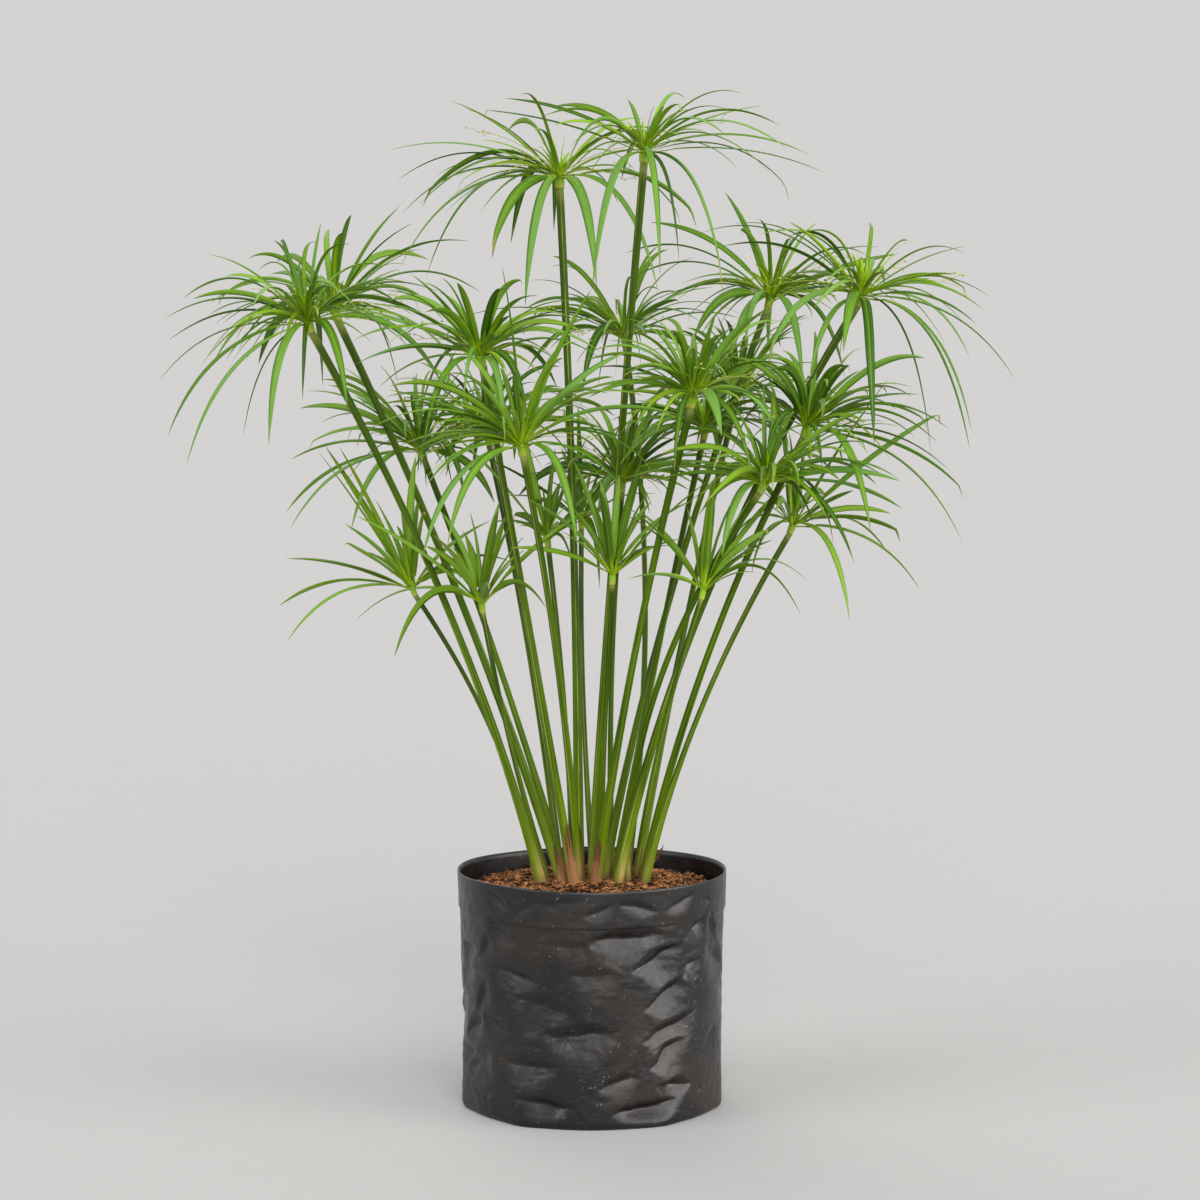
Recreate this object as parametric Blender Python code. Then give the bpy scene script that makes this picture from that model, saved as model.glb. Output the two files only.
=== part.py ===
"""Umbrella sedge in a round film grow bag.

The bag is an open, thin-walled container with a folded cuff and a flat base. A block of
coco peat fills it. Twenty-four culms rise from the middle of the peat, lean outwards in
a clump, and each carries one whorl of leafy blades. Dry scales wrap some culm bases.
Metres, +Z up, origin at the middle of the flat base, the front of the plant towards -Y.
"""

import math
import random
from collections import namedtuple

import bmesh
import bpy
import numpy as np
from mathutils import Vector
from mathutils.bvhtree import BVHTree

MM = 0.001
GAP = 0.0003

# Grow bag
BAG_HEIGHT = 0.178
BAG_RIM_RADIUS = 0.100
BAG_WAIST_RADIUS = 0.0982
BAG_BASE_RADIUS = 0.0972
BAG_FOOT_RADIUS = 0.0945
BAG_WALL = 0.0013
BAG_FLOOR = 0.0016
FOOT_HEIGHT = 0.005
FLOOR_STEP = 2.6 * BAG_WALL
RIM_STEP = 0.7 * BAG_WALL
CUFF_DEPTH = 0.0285
CUFF_PROUD = 0.0009
CUFF_LIP = 0.4 * CUFF_PROUD
WAIST_SHARE = 0.4
DENT_DEPTH = 0.0010
LOW_DENTS = (5, 24, 1.0)
FINE_DENTS = (8, -41, 0.7)
CORNER_BULGE = 0.0016
CORNER_WIDTH = 0.16
CORNER_ANGLES = (math.radians(-122), math.radians(-58), math.radians(35), math.radians(145))
BAG_SEGMENTS = 32
WALL_LEVELS = (0.0075, 0.045, 0.100, 0.1615)

# Peat
PEAT_TOP = 0.169
PEAT_EDGE = 0.163
PEAT_FLAT_RADIUS = 0.056
PEAT_LUMP = 0.0006
PEAT_SLACK = 0.0014
PEAT_FLOOR_STEP = 3.4 * BAG_WALL
PEAT_OUTER_RADIUS = 0.088
PEAT_OUTER_HEIGHT = 0.1638
PEAT_MIDDLE_RADIUS = 0.072
PEAT_WAVES = ((210, 90), (-120, 170))

# Culms and whorls
CULM_SIDES = 6
CULM_RINGS = 5
CULM_FOOT_SWELL = 1.12
CULM_TIP_TAPER = 0.84
CULM_TAPER_RATE = 1.1
CULM_CLEARANCE = 0.0012
HUB_ROOM = 0.0035
PARTING_ROUNDS = 400
PARTING_STEPS = 40
PARTING_TOLERANCE = 0.0004
PARTING_SHARE = 0.6
PARTING_LIMIT = 0.0012
PARTING_SIDEWAYS = 0.3
BEND_FOLLOW = 0.4
HUB_HEIGHT = 0.0075
HUB_SPREAD = 1.30
HUB_STANDOFF = 0.75
HUB_TOP_SHARE = 0.8
YOUNG_CORNERS = 6
MATURE_CORNERS = 8
AXIS_FOLLOW = 0.55
ROOM_SCALE = 2.2
BLADE_WIDTH = 6.0
BLADE_KEEL = 0.24
BLADE_LEAN = (0.55, -0.25)
BLADE_UNTWIST = 0.35
BLADE_CLEARANCE = 0.0006
LONG_STATIONS = ((0.26, 1.0), (0.58, 0.9), (0.85, 0.5))
YOUNG_STATIONS = ((0.34, 1.0), (0.74, 0.7))
YOUNG_LIFT = (0.15, 0.75)
MATURE_LIFT = (-0.55, 0.25)
REACH_SPREAD = (0.78, 1.0)
LEVEL_SPREAD = (0.80, 0.92)
RISE_SPREAD = (0.16, 0.34)
RISE_WITH_TIP = 0.3
WIDTH_SPREAD = (4.5, 8.5)
GAP_MIDDLE = (0.42, 0.58)
PLACING_TRIES = 90
PLACING_STEP = 0.0011
PLACING_SIDEWAYS = 0.3
PLACING_RISE = 0.4

# Scales
SCALE_THICKNESS = 0.0008
SCALE_STANDOFF = 0.0007
SCALE_FLARE = 0.0012
SCALE_TIP_OUT = 0.0034
SCALE_HALF_ANGLE = math.radians(62)
SCALE_TURN = math.radians(15)
SCALE_TRIES = 24
SCALE_ROWS = ((0.0, 1.0), (0.4, 0.9), (0.75, 0.55))
SCALE_EDGE_LIFT = 1.25

Shoot = namedtuple("Shoot", "base head bow thick blades reach posed")

# Each shoot in millimetres: base (x, y), head (x, y, z), sideways bow of the culm, culm
# thickness, number of blades, usual blade reach, and the blades posed by hand as tip offsets
# (x, y, z), rise of the arch and, where it differs, width.
SHOOTS = (
    Shoot((-36, -12), (-205, -35, 580), 16, 7.8, 16, 125, (
        (-94, 30, 17, 55), (-79, 60, 4, 28, 5), (-108, -10, -43, 11), (-100, -25, -82, -5, 5),
        (-85, -35, -102, -15), (-50, 25, -85, -10, 5), (-23, -75, -86, 5, 9), (0, -45, -55, 0, 5),
        (34, -70, -61, 15, 9.5), (-22, -20, 60, 54, 7), (-37, 20, 38, 61, 7), (10, 10, 73, 45, 6))),
    Shoot((-24, -13), (-191, 45, 587), 8, 8.0, 15, 125, (
        (14, -8, 72, 62, 7), (49, 20, 79, 48, 6), (61, -15, 66, 50, 6), (101, 25, 52, 60, 5),
        (110, -10, 14, 51, 5), (113, -30, -80, 12, 8), (46, -60, -27, 15, 7), (80, 40, -8, 40, 5),
        (-2, 30, 49, 30, 4))),
    Shoot((-8, 2), (-24, 40, 686), 3, 8.2, 16, 128, (
        (-130, 20, 20, 38), (-125, 55, -2, 41, 4.5), (-95, 75, 3, 30, 4), (-118, -10, -28, 26, 4.5),
        (-118, -25, -67, 16, 6), (-98, -60, -75, 20, 8.5), (-50, -60, -60, 8, 8.5),
        (-24, -70, -95, 5, 9.5), (28, -65, -80, 8, 9), (73, -45, -85, 12, 7), (109, 30, -36, 22, 5),
        (95, 55, -34, 28, 5), (-72, 10, 52, 40, 4))),
    Shoot((-1, 4), (38, -20, 704), -2, 8.2, 16, 128, (
        (88, 25, 34, 27, 5), (120, -10, -3, 24, 7), (133, 10, -16, 10, 5), (115, 45, -36, 26, 4),
        (72, 70, -12, 20, 4), (-12, 25, 38, 30, 4), (15, -20, 34, 20, 5), (36, 50, 32, 32, 4),
        (-127, 15, 31, 28, 6), (-103, 45, 40, 36, 4.5), (-60, -50, -24, 55, 6),
        (-38, -65, -100, 5, 9.5), (10, -80, -90, 10, 10), (58, -50, -108, 8, 8), (25, -35, -80, 5, 7))),
    Shoot((9, 6), (135, 95, 596), -11, 7.0, 15, 120, (
        (-36, -15, 81, 50, 7), (23, -25, 50, 40, 8), (-92, 30, 58, 56, 6), (-111, 55, 34, 59, 4.5),
        (-105, -10, 16, 46, 5), (-74, -35, -2, 28, 5), (-61, -60, -30, 20, 8), (-32, -55, -43, 5, 8),
        (-22, -75, -34, 20, 8), (22, -60, -62, 10, 8), (56, -20, -60, 14, 4), (100, 25, 34, 25, 9),
        (85, -15, 0, 18, 8))),
    Shoot((22, -14), (194, -30, 599), -22, 8.0, 16, 125, (
        (115, 10, -62, 4, 7), (83, 30, -45, 15, 4), (82, -30, -20, 12, 5), (55, 45, 13, 10, 4),
        (80, -20, -99, 0, 5), (76, -45, -110, 0, 7), (47, -60, -112, 3, 8.5), (4, -80, -105, 8, 10.5),
        (-18, -75, -38, 12, 8), (-40, -45, -58, 0, 6), (-74, -60, -50, 20, 8), (-92, 35, 53, 62, 4),
        (-117, 60, 46, 70, 5), (-103, -5, 36, 52, 6), (-52, 10, 44, 60, 7))),
    Shoot((-14, -4), (-49, -120, 495), 5, 7.2, 15, 120, (
        (-13, -20, 128, 70, 9), (50, -10, 111, 60, 8), (75, 10, 66, 48, 7), (-69, 20, 47, 38, 6),
        (-93, -15, 40, 32, 6), (-88, 10, 26, 36, 5), (-69, -30, -78, 0, 7), (-51, -55, -68, 5, 9),
        (40, -60, -68, 15, 10), (95, -15, -19, 28, 7), (76, -40, -36, 8, 7), (-72, 15, -5, 15),
        (-65, -30, -25, 8))),
    Shoot((-10, -14), (-79, -75, 556), 1, 7.4, 15, 115, (
        (-83, 30, -2, 16, 5), (-73, -10, -22, 8, 5), (-76, -5, 30, 24, 6), (-49, -25, 60, 35, 8.5),
        (15, -40, 50, 40, 8), (-38, -55, -56, 10, 8), (22, -20, 30, 25), (60, 20, 25, 25, 5),
        (35, -60, -45, 20, 8), (20, -70, -60, 12, 8))),
    Shoot((-19, -1), (-128, 70, 481), 4, 6.6, 15, 115, (
        (-101, 15, -8, 19), (-103, -5, -47, 4), (-97, -25, -61, 2, 8), (-50, -60, -57, 10, 8),
        (-65, 50, 8, 36, 4), (-50, -20, 43, 28, 7), (-7, 15, 57, 30, 8), (27, -15, 77, 42, 7),
        (32, 20, 62, 38), (57, -35, -38, 5, 8), (60, 30, 10, 25))),
    Shoot((-42, 3), (-132, 5, 383), 14, 5.0, 11, 100, (
        (-101, 20, -16, 18, 5), (-92, -15, -39, 14, 5), (-92, -25, 24, 26, 9), (-54, 35, 33, 20, 5),
        (-50, 0, 48, 32, 8), (-26, -15, 68, 38, 7), (-9, 25, 65, 35, 4), (6, 5, 72, 40, 8),
        (12, -20, 66, 35), (40, 25, 8, 20, 5))),
    Shoot((-33, 6), (-80, -45, 376), -4, 5.2, 11, 95, (
        (-63, -20, -38, 34, 7), (-93, 10, -14, 28, 5), (-40, -25, 44, 35, 7), (-30, 15, 66, 42, 7),
        (-8, -5, 68, 38, 8), (13, 20, 74, 40, 7), (20, -15, 60, 35, 5), (34, 5, 52, 30, 4),
        (48, -25, -2, 36))),
    Shoot((6, -4), (15, -50, 397), -1, 5.4, 10, 95, (
        (58, -10, 55, 40, 7), (28, 20, 52, 35, 7), (26, -25, 62, 40), (5, -15, 80, 45),
        (-9, 10, 70, 42, 7), (-17, -20, 62, 35), (-30, 15, 48, 30, 5), (30, 40, 18, 20, 5))),
    Shoot((33, 8), (80, -60, 387), -9, 5.0, 10, 100, (
        (8, -10, 83, 50, 8), (28, 25, 72, 42, 7), (34, -15, 68, 38), (-12, 20, 60, 35, 5),
        (51, 10, 36, 28), (50, -25, 48, 34, 7), (70, -20, -16, 46, 7), (77, 30, 4, 40, 4))),
    Shoot((37, -12), (147, -10, 431), -15, 6.0, 12, 105, (
        (76, 40, 5, 18, 5), (84, -25, -8, 16), (95, 5, -50, 2, 7), (75, 55, -27, 20, 4),
        (39, -55, -66, 10), (42, -40, 28, 20, 7), (-4, 30, 32, 20), (-34, -30, -36, 12),
        (-48, 25, -20, 20))),
    Shoot((29, -2), (122, -75, 466), -24, 7.0, 14, 110, (
        (98, -15, 2, 20, 8), (100, 10, -19, 10, 7), (82, -45, 8, 36, 8), (61, -60, -53, 12, 7),
        (0, 25, 72, 40, 7), (20, -25, 53, 40, 8), (-28, 20, 60, 45, 7), (-83, -20, 2, 16),
        (-32, -40, -52, 10, 7), (-85, 30, 12, 22))),
    Shoot((36, 2), (155, -45, 504), -10, 7.2, 15, 120, (
        (22, -90, 48, 50, 9), (42, 60, 40, 30, 4), (28, 50, 23, 22, 4), (80, -20, 25, 30, 9),
        (82, 35, -9, 24, 4), (105, 10, -32, 8, 5), (117, -15, -50, 0, 7), (110, -40, -81, -2, 6),
        (41, -75, -70, 15, 9.5), (10, -55, -31, 15), (-40, -20, 40, 35, 7), (-75, 30, 25, 35))),
    Shoot((3, -14), (71, -90, 528), -5, 7.8, 15, 105, (
        (16, -15, 60, 35, 8), (32, 20, 52, 40), (-26, -10, 50, 32, 7), (-60, 15, 40, 40),
        (18, -70, -25, 20, 9), (-70, 25, 20, 28, 7), (-75, -25, 0, 22, 7), (60, -50, -15, 20, 8),
        (-15, -75, -50, 12, 8), (40, -65, -52, 12, 7))),
    Shoot((16, 12), (23, 45, 458), -4, 5.6, 14, 100, (
        (20, -10, 62, 40, 8), (30, -20, 58, 40, 8), (-18, -15, 42, 30), (48, -20, 38, 30, 8),
        (20, -45, -20, 12), (-30, -25, -25, 15))),
    Shoot((-14, 15), (-33, 35, 417), 3, 5.6, 9, 70, (
        (-4, 0, 40, 25), (10, 12, 42, 26), (20, -15, -24, 16), (-22, 15, 8, 12, 4))),
    Shoot((26, 20), (26, 150, 565), 15, 6.2, 13, 115, (
        (-135, 10, 12, 40, 5), (15, -20, 55, 35, 7), (45, -30, 30, 30, 8), (90, -10, 15, 30, 5))),
    Shoot((1, 17), (-8, 90, 426), -3, 5.4, 9, 85, (
        (25, -10, 35, 25), (14, -30, -50, 10, 5), (-25, 10, 30, 25))),
    Shoot((17, 0), (84, 25, 499), -2, 6.4, 12, 95, ((-40, 20, 45, 35), (30, 35, 50, 35))),
    Shoot((-23, 9), (-79, 110, 489), 4, 6.2, 12, 105, ((-20, 10, 60, 38), (35, 45, 30, 30))),
    Shoot((34, 13), (110, 95, 521), -3, 6.4, 12, 105, ((-15, 5, 62, 40), (40, 30, 45, 35))),
)
YOUNG_BELOW = 0.44
SCALE_CULMS = (1, 2, 4, 7, 12, 16, 18, 20)
SCALE_HEIGHTS = (0.030, 0.042, 0.034, 0.048, 0.040, 0.036, 0.052, 0.033)


def clear_scene():
    """Remove every object of the open scene."""
    for found in list(bpy.data.objects):
        bpy.data.objects.remove(found, do_unlink=True)


def make_material(name, colour, roughness):
    """One Principled finish."""
    material = bpy.data.materials.new(name)
    material.use_nodes = True
    shader = material.node_tree.nodes["Principled BSDF"]
    shader.inputs["Base Color"].default_value = (*colour, 1.0)
    shader.inputs["Roughness"].default_value = roughness
    shader.inputs["Metallic"].default_value = 0.0
    material.diffuse_color = (*colour, 1.0)
    return material


def add_node(name, points, faces, material, smooth=True):
    """Make one closed solid from its points and faces, with the faces pointing out."""
    shape = bmesh.new()
    made = [shape.verts.new(point) for point in points]
    for face in faces:
        shape.faces.new([made[index] for index in face])
    bmesh.ops.recalc_face_normals(shape, faces=shape.faces)
    mesh = bpy.data.meshes.new(name)
    shape.to_mesh(mesh)
    shape.free()
    if smooth:
        mesh.shade_smooth()
    mesh.materials.append(material)
    node = bpy.data.objects.new(name, mesh)
    bpy.context.collection.objects.link(node)
    return node


def angle_between(first, second):
    """Smallest turn from one angle to the other."""
    return (second - first + math.pi) % (2 * math.pi) - math.pi


def bag_radius(angle, height):
    """Outer radius of the bag: a slight taper, shallow dents, and pinched corners at the foot."""
    share = min(max(height / BAG_HEIGHT, 0.0), 1.0)
    radius = BAG_BASE_RADIUS + (BAG_RIM_RADIUS - BAG_BASE_RADIUS) * share
    belly = math.sin(math.pi * share)
    dents = sum(
        size * math.sin(around * angle + upward * height)
        for around, upward, size in (LOW_DENTS, FINE_DENTS)
    )
    radius += (BAG_WAIST_RADIUS - BAG_RIM_RADIUS) * WAIST_SHARE * belly
    radius += DENT_DEPTH * belly * dents
    pinch = sum(math.exp(-(angle_between(corner, angle) / CORNER_WIDTH) ** 2) for corner in CORNER_ANGLES)
    return radius + CORNER_BULGE * pinch * (1 - share) ** 3


def ring(radius_at, height):
    """Points of one level ring round the bag's axis."""
    points = []
    for index in range(BAG_SEGMENTS):
        angle = 2 * math.pi * index / BAG_SEGMENTS
        radius = radius_at(angle)
        points.append((radius * math.cos(angle), radius * math.sin(angle), height))
    return points


def turned_solid(rings, bottom, top):
    """Points and faces of a solid of stacked rings, closed by a centre point at each end."""
    points = [point for one in rings for point in one]
    count = len(rings[0])
    faces = []
    for level in range(len(rings) - 1):
        for index in range(count):
            after = (index + 1) % count
            low, high = level * count, (level + 1) * count
            faces.append((low + index, low + after, high + after, high + index))
    points.extend((bottom, top))
    last = (len(rings) - 1) * count
    for index in range(count):
        after = (index + 1) % count
        faces.append((after, index, len(points) - 2))
        faces.append((last + index, last + after, len(points) - 1))
    return points, faces


def make_bag(material):
    """The open bag: outer side with its cuff, rim, inner side and floor."""
    fold = BAG_HEIGHT - CUFF_DEPTH
    outer = (
        (0.0, BAG_FOOT_RADIUS - BAG_BASE_RADIUS), (FOOT_HEIGHT, 0.0), (WALL_LEVELS[1], 0.0),
        (WALL_LEVELS[2], 0.0), (fold - 0.0010, 0.0), (fold + 0.0006, CUFF_PROUD),
        (BAG_HEIGHT - 0.0015, CUFF_PROUD), (BAG_HEIGHT, CUFF_LIP),
    )
    inner = [(BAG_HEIGHT, -RIM_STEP)]
    inner.extend((level, -BAG_WALL) for level in reversed(WALL_LEVELS))
    rings = [ring(lambda a, z=z, s=step: bag_radius(a, z) + s, z) for z, step in (*outer, *inner)]
    rings.append(ring(lambda a: bag_radius(a, BAG_FLOOR) - FLOOR_STEP, BAG_FLOOR))
    return add_node("grow_bag", *turned_solid(rings, (0, 0, 0), (0, 0, BAG_FLOOR)), material)


def make_peat(material):
    """The block of peat, flat round the culms and falling a little to the wall."""
    slack = BAG_WALL + PEAT_SLACK

    def inside(height):
        return ring(lambda a: bag_radius(a, height) - slack, height)

    def lumpy(radius, height):
        points = []
        for x, y, z in ring(lambda a: radius, height):
            lump = sum(math.sin(across * x + deep * y) for across, deep in PEAT_WAVES)
            points.append((x, y, z + PEAT_LUMP * lump))
        return points

    rings = [ring(lambda a: bag_radius(a, BAG_FLOOR) - PEAT_FLOOR_STEP, BAG_FLOOR + GAP)]
    rings.extend(inside(level) for level in WALL_LEVELS)
    rings.append(lumpy(PEAT_OUTER_RADIUS, PEAT_OUTER_HEIGHT))
    rings.append(lumpy(PEAT_MIDDLE_RADIUS, (PEAT_EDGE + PEAT_TOP) / 2))
    rings.append(ring(lambda a: PEAT_FLAT_RADIUS, PEAT_TOP))
    shape = turned_solid(rings, (0, 0, BAG_FLOOR + GAP), (0, 0, PEAT_TOP))
    return add_node("coco_peat", *shape, material)


class Culm:
    """The middle line of one culm: a quadratic curve from its foot to its head."""

    def __init__(self, shoot):
        self.foot = Vector((shoot.base[0] * MM, shoot.base[1] * MM, PEAT_TOP + GAP))
        self.head = Vector(shoot.head) * MM
        self.bend = (self.foot + self.head) / 2 + Vector((2 * shoot.bow * MM, 0, 0))
        self.radius = shoot.thick * MM / 2

    def point(self, t):
        return (1 - t) ** 2 * self.foot + 2 * t * (1 - t) * self.bend + t ** 2 * self.head

    def direction(self, t):
        return ((1 - t) * (self.bend - self.foot) + t * (self.head - self.bend)).normalized()


def part_culms(culms):
    """Lean the culms past one another, mostly in depth, until no two touch."""
    steps = [index / PARTING_STEPS for index in range(PARTING_STEPS + 1)]
    reach = np.array([culm.radius * CULM_FOOT_SWELL + CULM_CLEARANCE / 2 for culm in culms])
    for _ in range(PARTING_ROUNDS):
        lines = np.array([[tuple(culm.point(t)) for t in steps] for culm in culms])
        moved = False
        for one in range(len(culms) - 1):
            apart = lines[one][None, :, None, :] - lines[one + 1:, None, :, :]
            spans = np.linalg.norm(apart, axis=3)
            spans[:, -1, :] -= HUB_ROOM
            spans[:, :, -1] -= HUB_ROOM
            nearest = spans.reshape(len(spans), -1).argmin(axis=1)
            for offset, place in enumerate(nearest):
                other = one + 1 + offset
                first, second = divmod(int(place), len(steps))
                lack = reach[one] + reach[other] - spans[offset, first, second]
                if lack <= PARTING_TOLERANCE:
                    continue
                moved = True
                x, y, _ = apart[offset, first, second]
                push = Vector((PARTING_SIDEWAYS * x, y, 0)).normalized()
                push *= min(PARTING_SHARE * lack, PARTING_LIMIT)
                for culm, t, way in ((culms[one], steps[first], 1), (culms[other], steps[second], -1)):
                    culm.foot += way * push * (1 - t) ** 2
                    culm.bend += way * push * (BEND_FOLLOW + t)
        if not moved:
            return
    print("some culms still touch")


def make_culm(name, culm, material):
    """A tapering tube of hexagonal section, cut level at the foot and square at the head."""
    points = []
    for level in range(CULM_RINGS):
        t = level / (CULM_RINGS - 1)
        centre = culm.point(t)
        tangent = culm.direction(t)
        if level == 0:
            tangent = Vector((0, 0, 1))
        side = tangent.cross(Vector((0, 1, 0))).normalized()
        front = tangent.cross(side)
        swell = CULM_FOOT_SWELL + (CULM_TIP_TAPER - CULM_FOOT_SWELL) * min(t * CULM_TAPER_RATE, 1.0)
        for corner in range(CULM_SIDES):
            angle = 2 * math.pi * corner / CULM_SIDES
            spoke = math.cos(angle) * side + math.sin(angle) * front
            points.append(centre + culm.radius * swell * spoke)
    faces = [tuple(reversed(range(CULM_SIDES)))]
    for level in range(CULM_RINGS - 1):
        for corner in range(CULM_SIDES):
            low, high = level * CULM_SIDES, (level + 1) * CULM_SIDES
            after = (corner + 1) % CULM_SIDES
            faces.append((low + corner, low + after, high + after, high + corner))
    last = (CULM_RINGS - 1) * CULM_SIDES
    faces.append(tuple(range(last, last + CULM_SIDES)))
    add_node(name, points, faces, material)
    return solid_tree(points, faces)


def solid_tree(points, faces):
    """A search tree of a solid's faces, for telling where two solids meet."""
    return BVHTree.FromPolygons([tuple(point) for point in points], faces)


class Blade:
    """One blade: a quadratic arc from its root on the hub to its tip."""

    def __init__(self, tip, rise, width):
        self.tip = Vector(tip) * MM
        self.rise = rise * MM
        self.width = width * MM
        self.root = None

    def azimuth(self):
        return math.atan2(self.tip.y, self.tip.x)

    def section(self, head, root, root_side, t, share):
        """Left, right and keel points of the section at t."""
        lean = BLADE_LEAN[0] + BLADE_LEAN[1] * self.tip.z / self.tip.length
        bend = head + Vector((lean * self.tip.x, lean * self.tip.y, self.rise))
        end = head + self.tip
        centre = (1 - t) ** 2 * root + 2 * t * (1 - t) * bend + t ** 2 * end
        tangent = ((1 - t) * (bend - root) + t * (end - bend)).normalized()
        flat = Vector((-self.tip.y, self.tip.x, 0)).normalized()
        side = flat.lerp(root_side, max(0.0, BLADE_UNTWIST - t)).normalized()
        normal = tangent.cross(side).normalized()
        half = self.width * share / 2
        return (
            centre - half * side,
            centre + half * side,
            centre - self.width * share * BLADE_KEEL * normal,
        )


def hub_rings(culm, corners):
    """Three rings of the hub, each turned half a step from the one below."""
    axis = culm.direction(1.0).lerp(Vector((0, 0, 1)), 1 - AXIS_FOLLOW).normalized()
    side = axis.cross(Vector((0, 1, 0))).normalized()
    front = axis.cross(side)
    base = culm.head + culm.direction(1.0) * (GAP + culm.radius * HUB_STANDOFF)
    rings = []
    for level, spread in enumerate((CULM_TIP_TAPER, HUB_SPREAD, HUB_SPREAD * HUB_TOP_SHARE)):
        centre = base + axis * HUB_HEIGHT * level / 2
        turn = math.pi * level / corners
        radius = culm.radius * spread
        rings.append([
            centre + radius * math.cos(2 * math.pi * k / corners + turn) * side
            + radius * math.sin(2 * math.pi * k / corners + turn) * front
            for k in range(corners)
        ])
    return rings


def hub_faces(corners):
    """The hub's sides and ends without its blades."""
    faces = [tuple(reversed(range(corners))), tuple(range(2 * corners, 3 * corners))]
    for level in (0, 1):
        for corner in range(corners):
            low, after = level * corners + corner, level * corners + (corner + 1) % corners
            left = (level + 1) * corners + (corner - 1) % corners
            right = (level + 1) * corners + corner
            faces.append((low, after, right))
            faces.append((left, low, right))
    return faces


def hub_room(culm):
    """The space round a hub that blades of other whorls keep out of."""
    points = [point for one in hub_rings(culm, YOUNG_CORNERS) for point in one]
    middle = sum(points, Vector()) / len(points)
    grown = [middle + (point - middle) * ROOM_SCALE for point in points]
    return solid_tree(grown, hub_faces(YOUNG_CORNERS))


def root_slots(rings):
    """The triangles of the hub's sides that carry blades, as (ring below, ring above, corner)."""
    corners = len(rings[0])
    slots = []
    for level in (0, 1):
        for corner in range(corners):
            low = rings[level][corner]
            left = rings[level + 1][corner - 1]
            right = rings[level + 1][corner]
            slots.append((level, corner, (left, right, low)))
    return slots


def fill_whorl(shoot, rng):
    """The posed blades, and more in the widest gaps between them."""
    blades = [Blade(row[:3], row[3], row[4] if len(row) > 4 else BLADE_WIDTH) for row in shoot.posed]
    young = shoot.head[2] * MM < YOUNG_BELOW
    while len(blades) < shoot.blades:
        turns = sorted(blade.azimuth() for blade in blades)
        gaps = [((turns[(k + 1) % len(turns)] - turn) % (2 * math.pi) or 2 * math.pi, turn)
                for k, turn in enumerate(turns)]
        widest, start = max(gaps)
        angle = start + widest * rng.uniform(*GAP_MIDDLE)
        reach = shoot.reach * rng.uniform(*REACH_SPREAD)
        lift = rng.uniform(*(YOUNG_LIFT if young else MATURE_LIFT))
        level = math.sqrt(1 - lift ** 2) * reach * rng.uniform(*LEVEL_SPREAD)
        tip = (level * math.cos(angle), level * math.sin(angle), lift * reach)
        rise = rng.uniform(*RISE_SPREAD) * reach + max(0.0, RISE_WITH_TIP * tip[2])
        blades.append(Blade(tip, rise, rng.uniform(*WIDTH_SPREAD)))
    return blades, young


def seat_blades(blades, slots, head):
    """Give each blade a slot of the hub, in order round it, with the least turning."""
    def turn_of(slot):
        middle = sum(slot[2], Vector()) / 3 - head
        return math.atan2(middle.y, middle.x)

    ordered = sorted(blades, key=lambda blade: blade.azimuth())
    around = sorted(slots, key=turn_of)
    picked = [around[int(k * len(around) / len(ordered))] for k in range(len(ordered))]

    def strain(shift):
        return sum(
            angle_between(turn_of(picked[(k + shift) % len(picked)]), blade.azimuth()) ** 2
            for k, blade in enumerate(ordered)
        )

    best = min(range(len(picked)), key=strain)
    return [(blade, picked[(k + best) % len(picked)]) for k, blade in enumerate(ordered)]


def blade_points(blade, slot, head, stations):
    """Rings of three points along the blade, then its tip."""
    left, right, low = slot[2]
    root = (left + right + low) / 3
    side = (left - right).normalized()
    flat = Vector((-blade.tip.y, blade.tip.x, 0))
    if flat.dot(side) < 0:
        side = -side
    rings = [blade.section(head, root, side, t, share) for t, share in stations]
    return rings, head + blade.tip


def blade_tree(rings, tip):
    """A search tree of a blade from the first of the given rings, a little larger than it is."""
    points = []
    for one in rings:
        middle = (one[0] + one[1]) / 2
        for point in one:
            spoke = point - middle
            points.append(point + spoke.normalized() * BLADE_CLEARANCE if spoke.length > 0 else point)
        points.append(middle + (middle - one[2]).normalized() * BLADE_CLEARANCE)
    last = rings[-1]
    points.append(tip + (tip - last[2]).normalized() * BLADE_CLEARANCE)
    faces = []
    for level in range(len(rings) - 1):
        low, high = 4 * level, 4 * level + 4
        for one, other in ((0, 3), (3, 1), (1, 2), (2, 0)):
            faces.append((low + one, low + other, high + other, high + one))
    top = 4 * (len(rings) - 1)
    for one, other in ((0, 3), (3, 1), (1, 2), (2, 0)):
        faces.append((top + one, top + other, len(points) - 1))
    faces.append((0, 1, 2))
    return BVHTree.FromPolygons([tuple(point) for point in points], faces)


def place_blade(blade, slot, head, stations, taken, own, rng):
    """Shift the blade by little steps, mostly in depth, until it is clear of what stands there."""
    tip, rise = blade.tip.copy(), blade.rise
    for attempt in range(PLACING_TRIES):
        reach = PLACING_STEP * attempt
        if attempt:
            aside = rng.uniform(-PLACING_SIDEWAYS, PLACING_SIDEWAYS)
            deep = rng.uniform(-1, 1)
            upward = rng.uniform(-PLACING_SIDEWAYS, PLACING_SIDEWAYS)
            blade.tip = tip + Vector((aside, deep, upward)) * reach
            blade.rise = rise + rng.uniform(-PLACING_RISE, PLACING_RISE) * reach
        rings, end = blade_points(blade, slot, head, stations)
        whole = blade_tree([slot[2], *rings], end)
        if any(whole.overlap(other) for other in taken):
            continue
        free = blade_tree(rings, end)
        if not any(free.overlap(other) for other in own):
            return rings, end, free, whole
    return None


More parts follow.
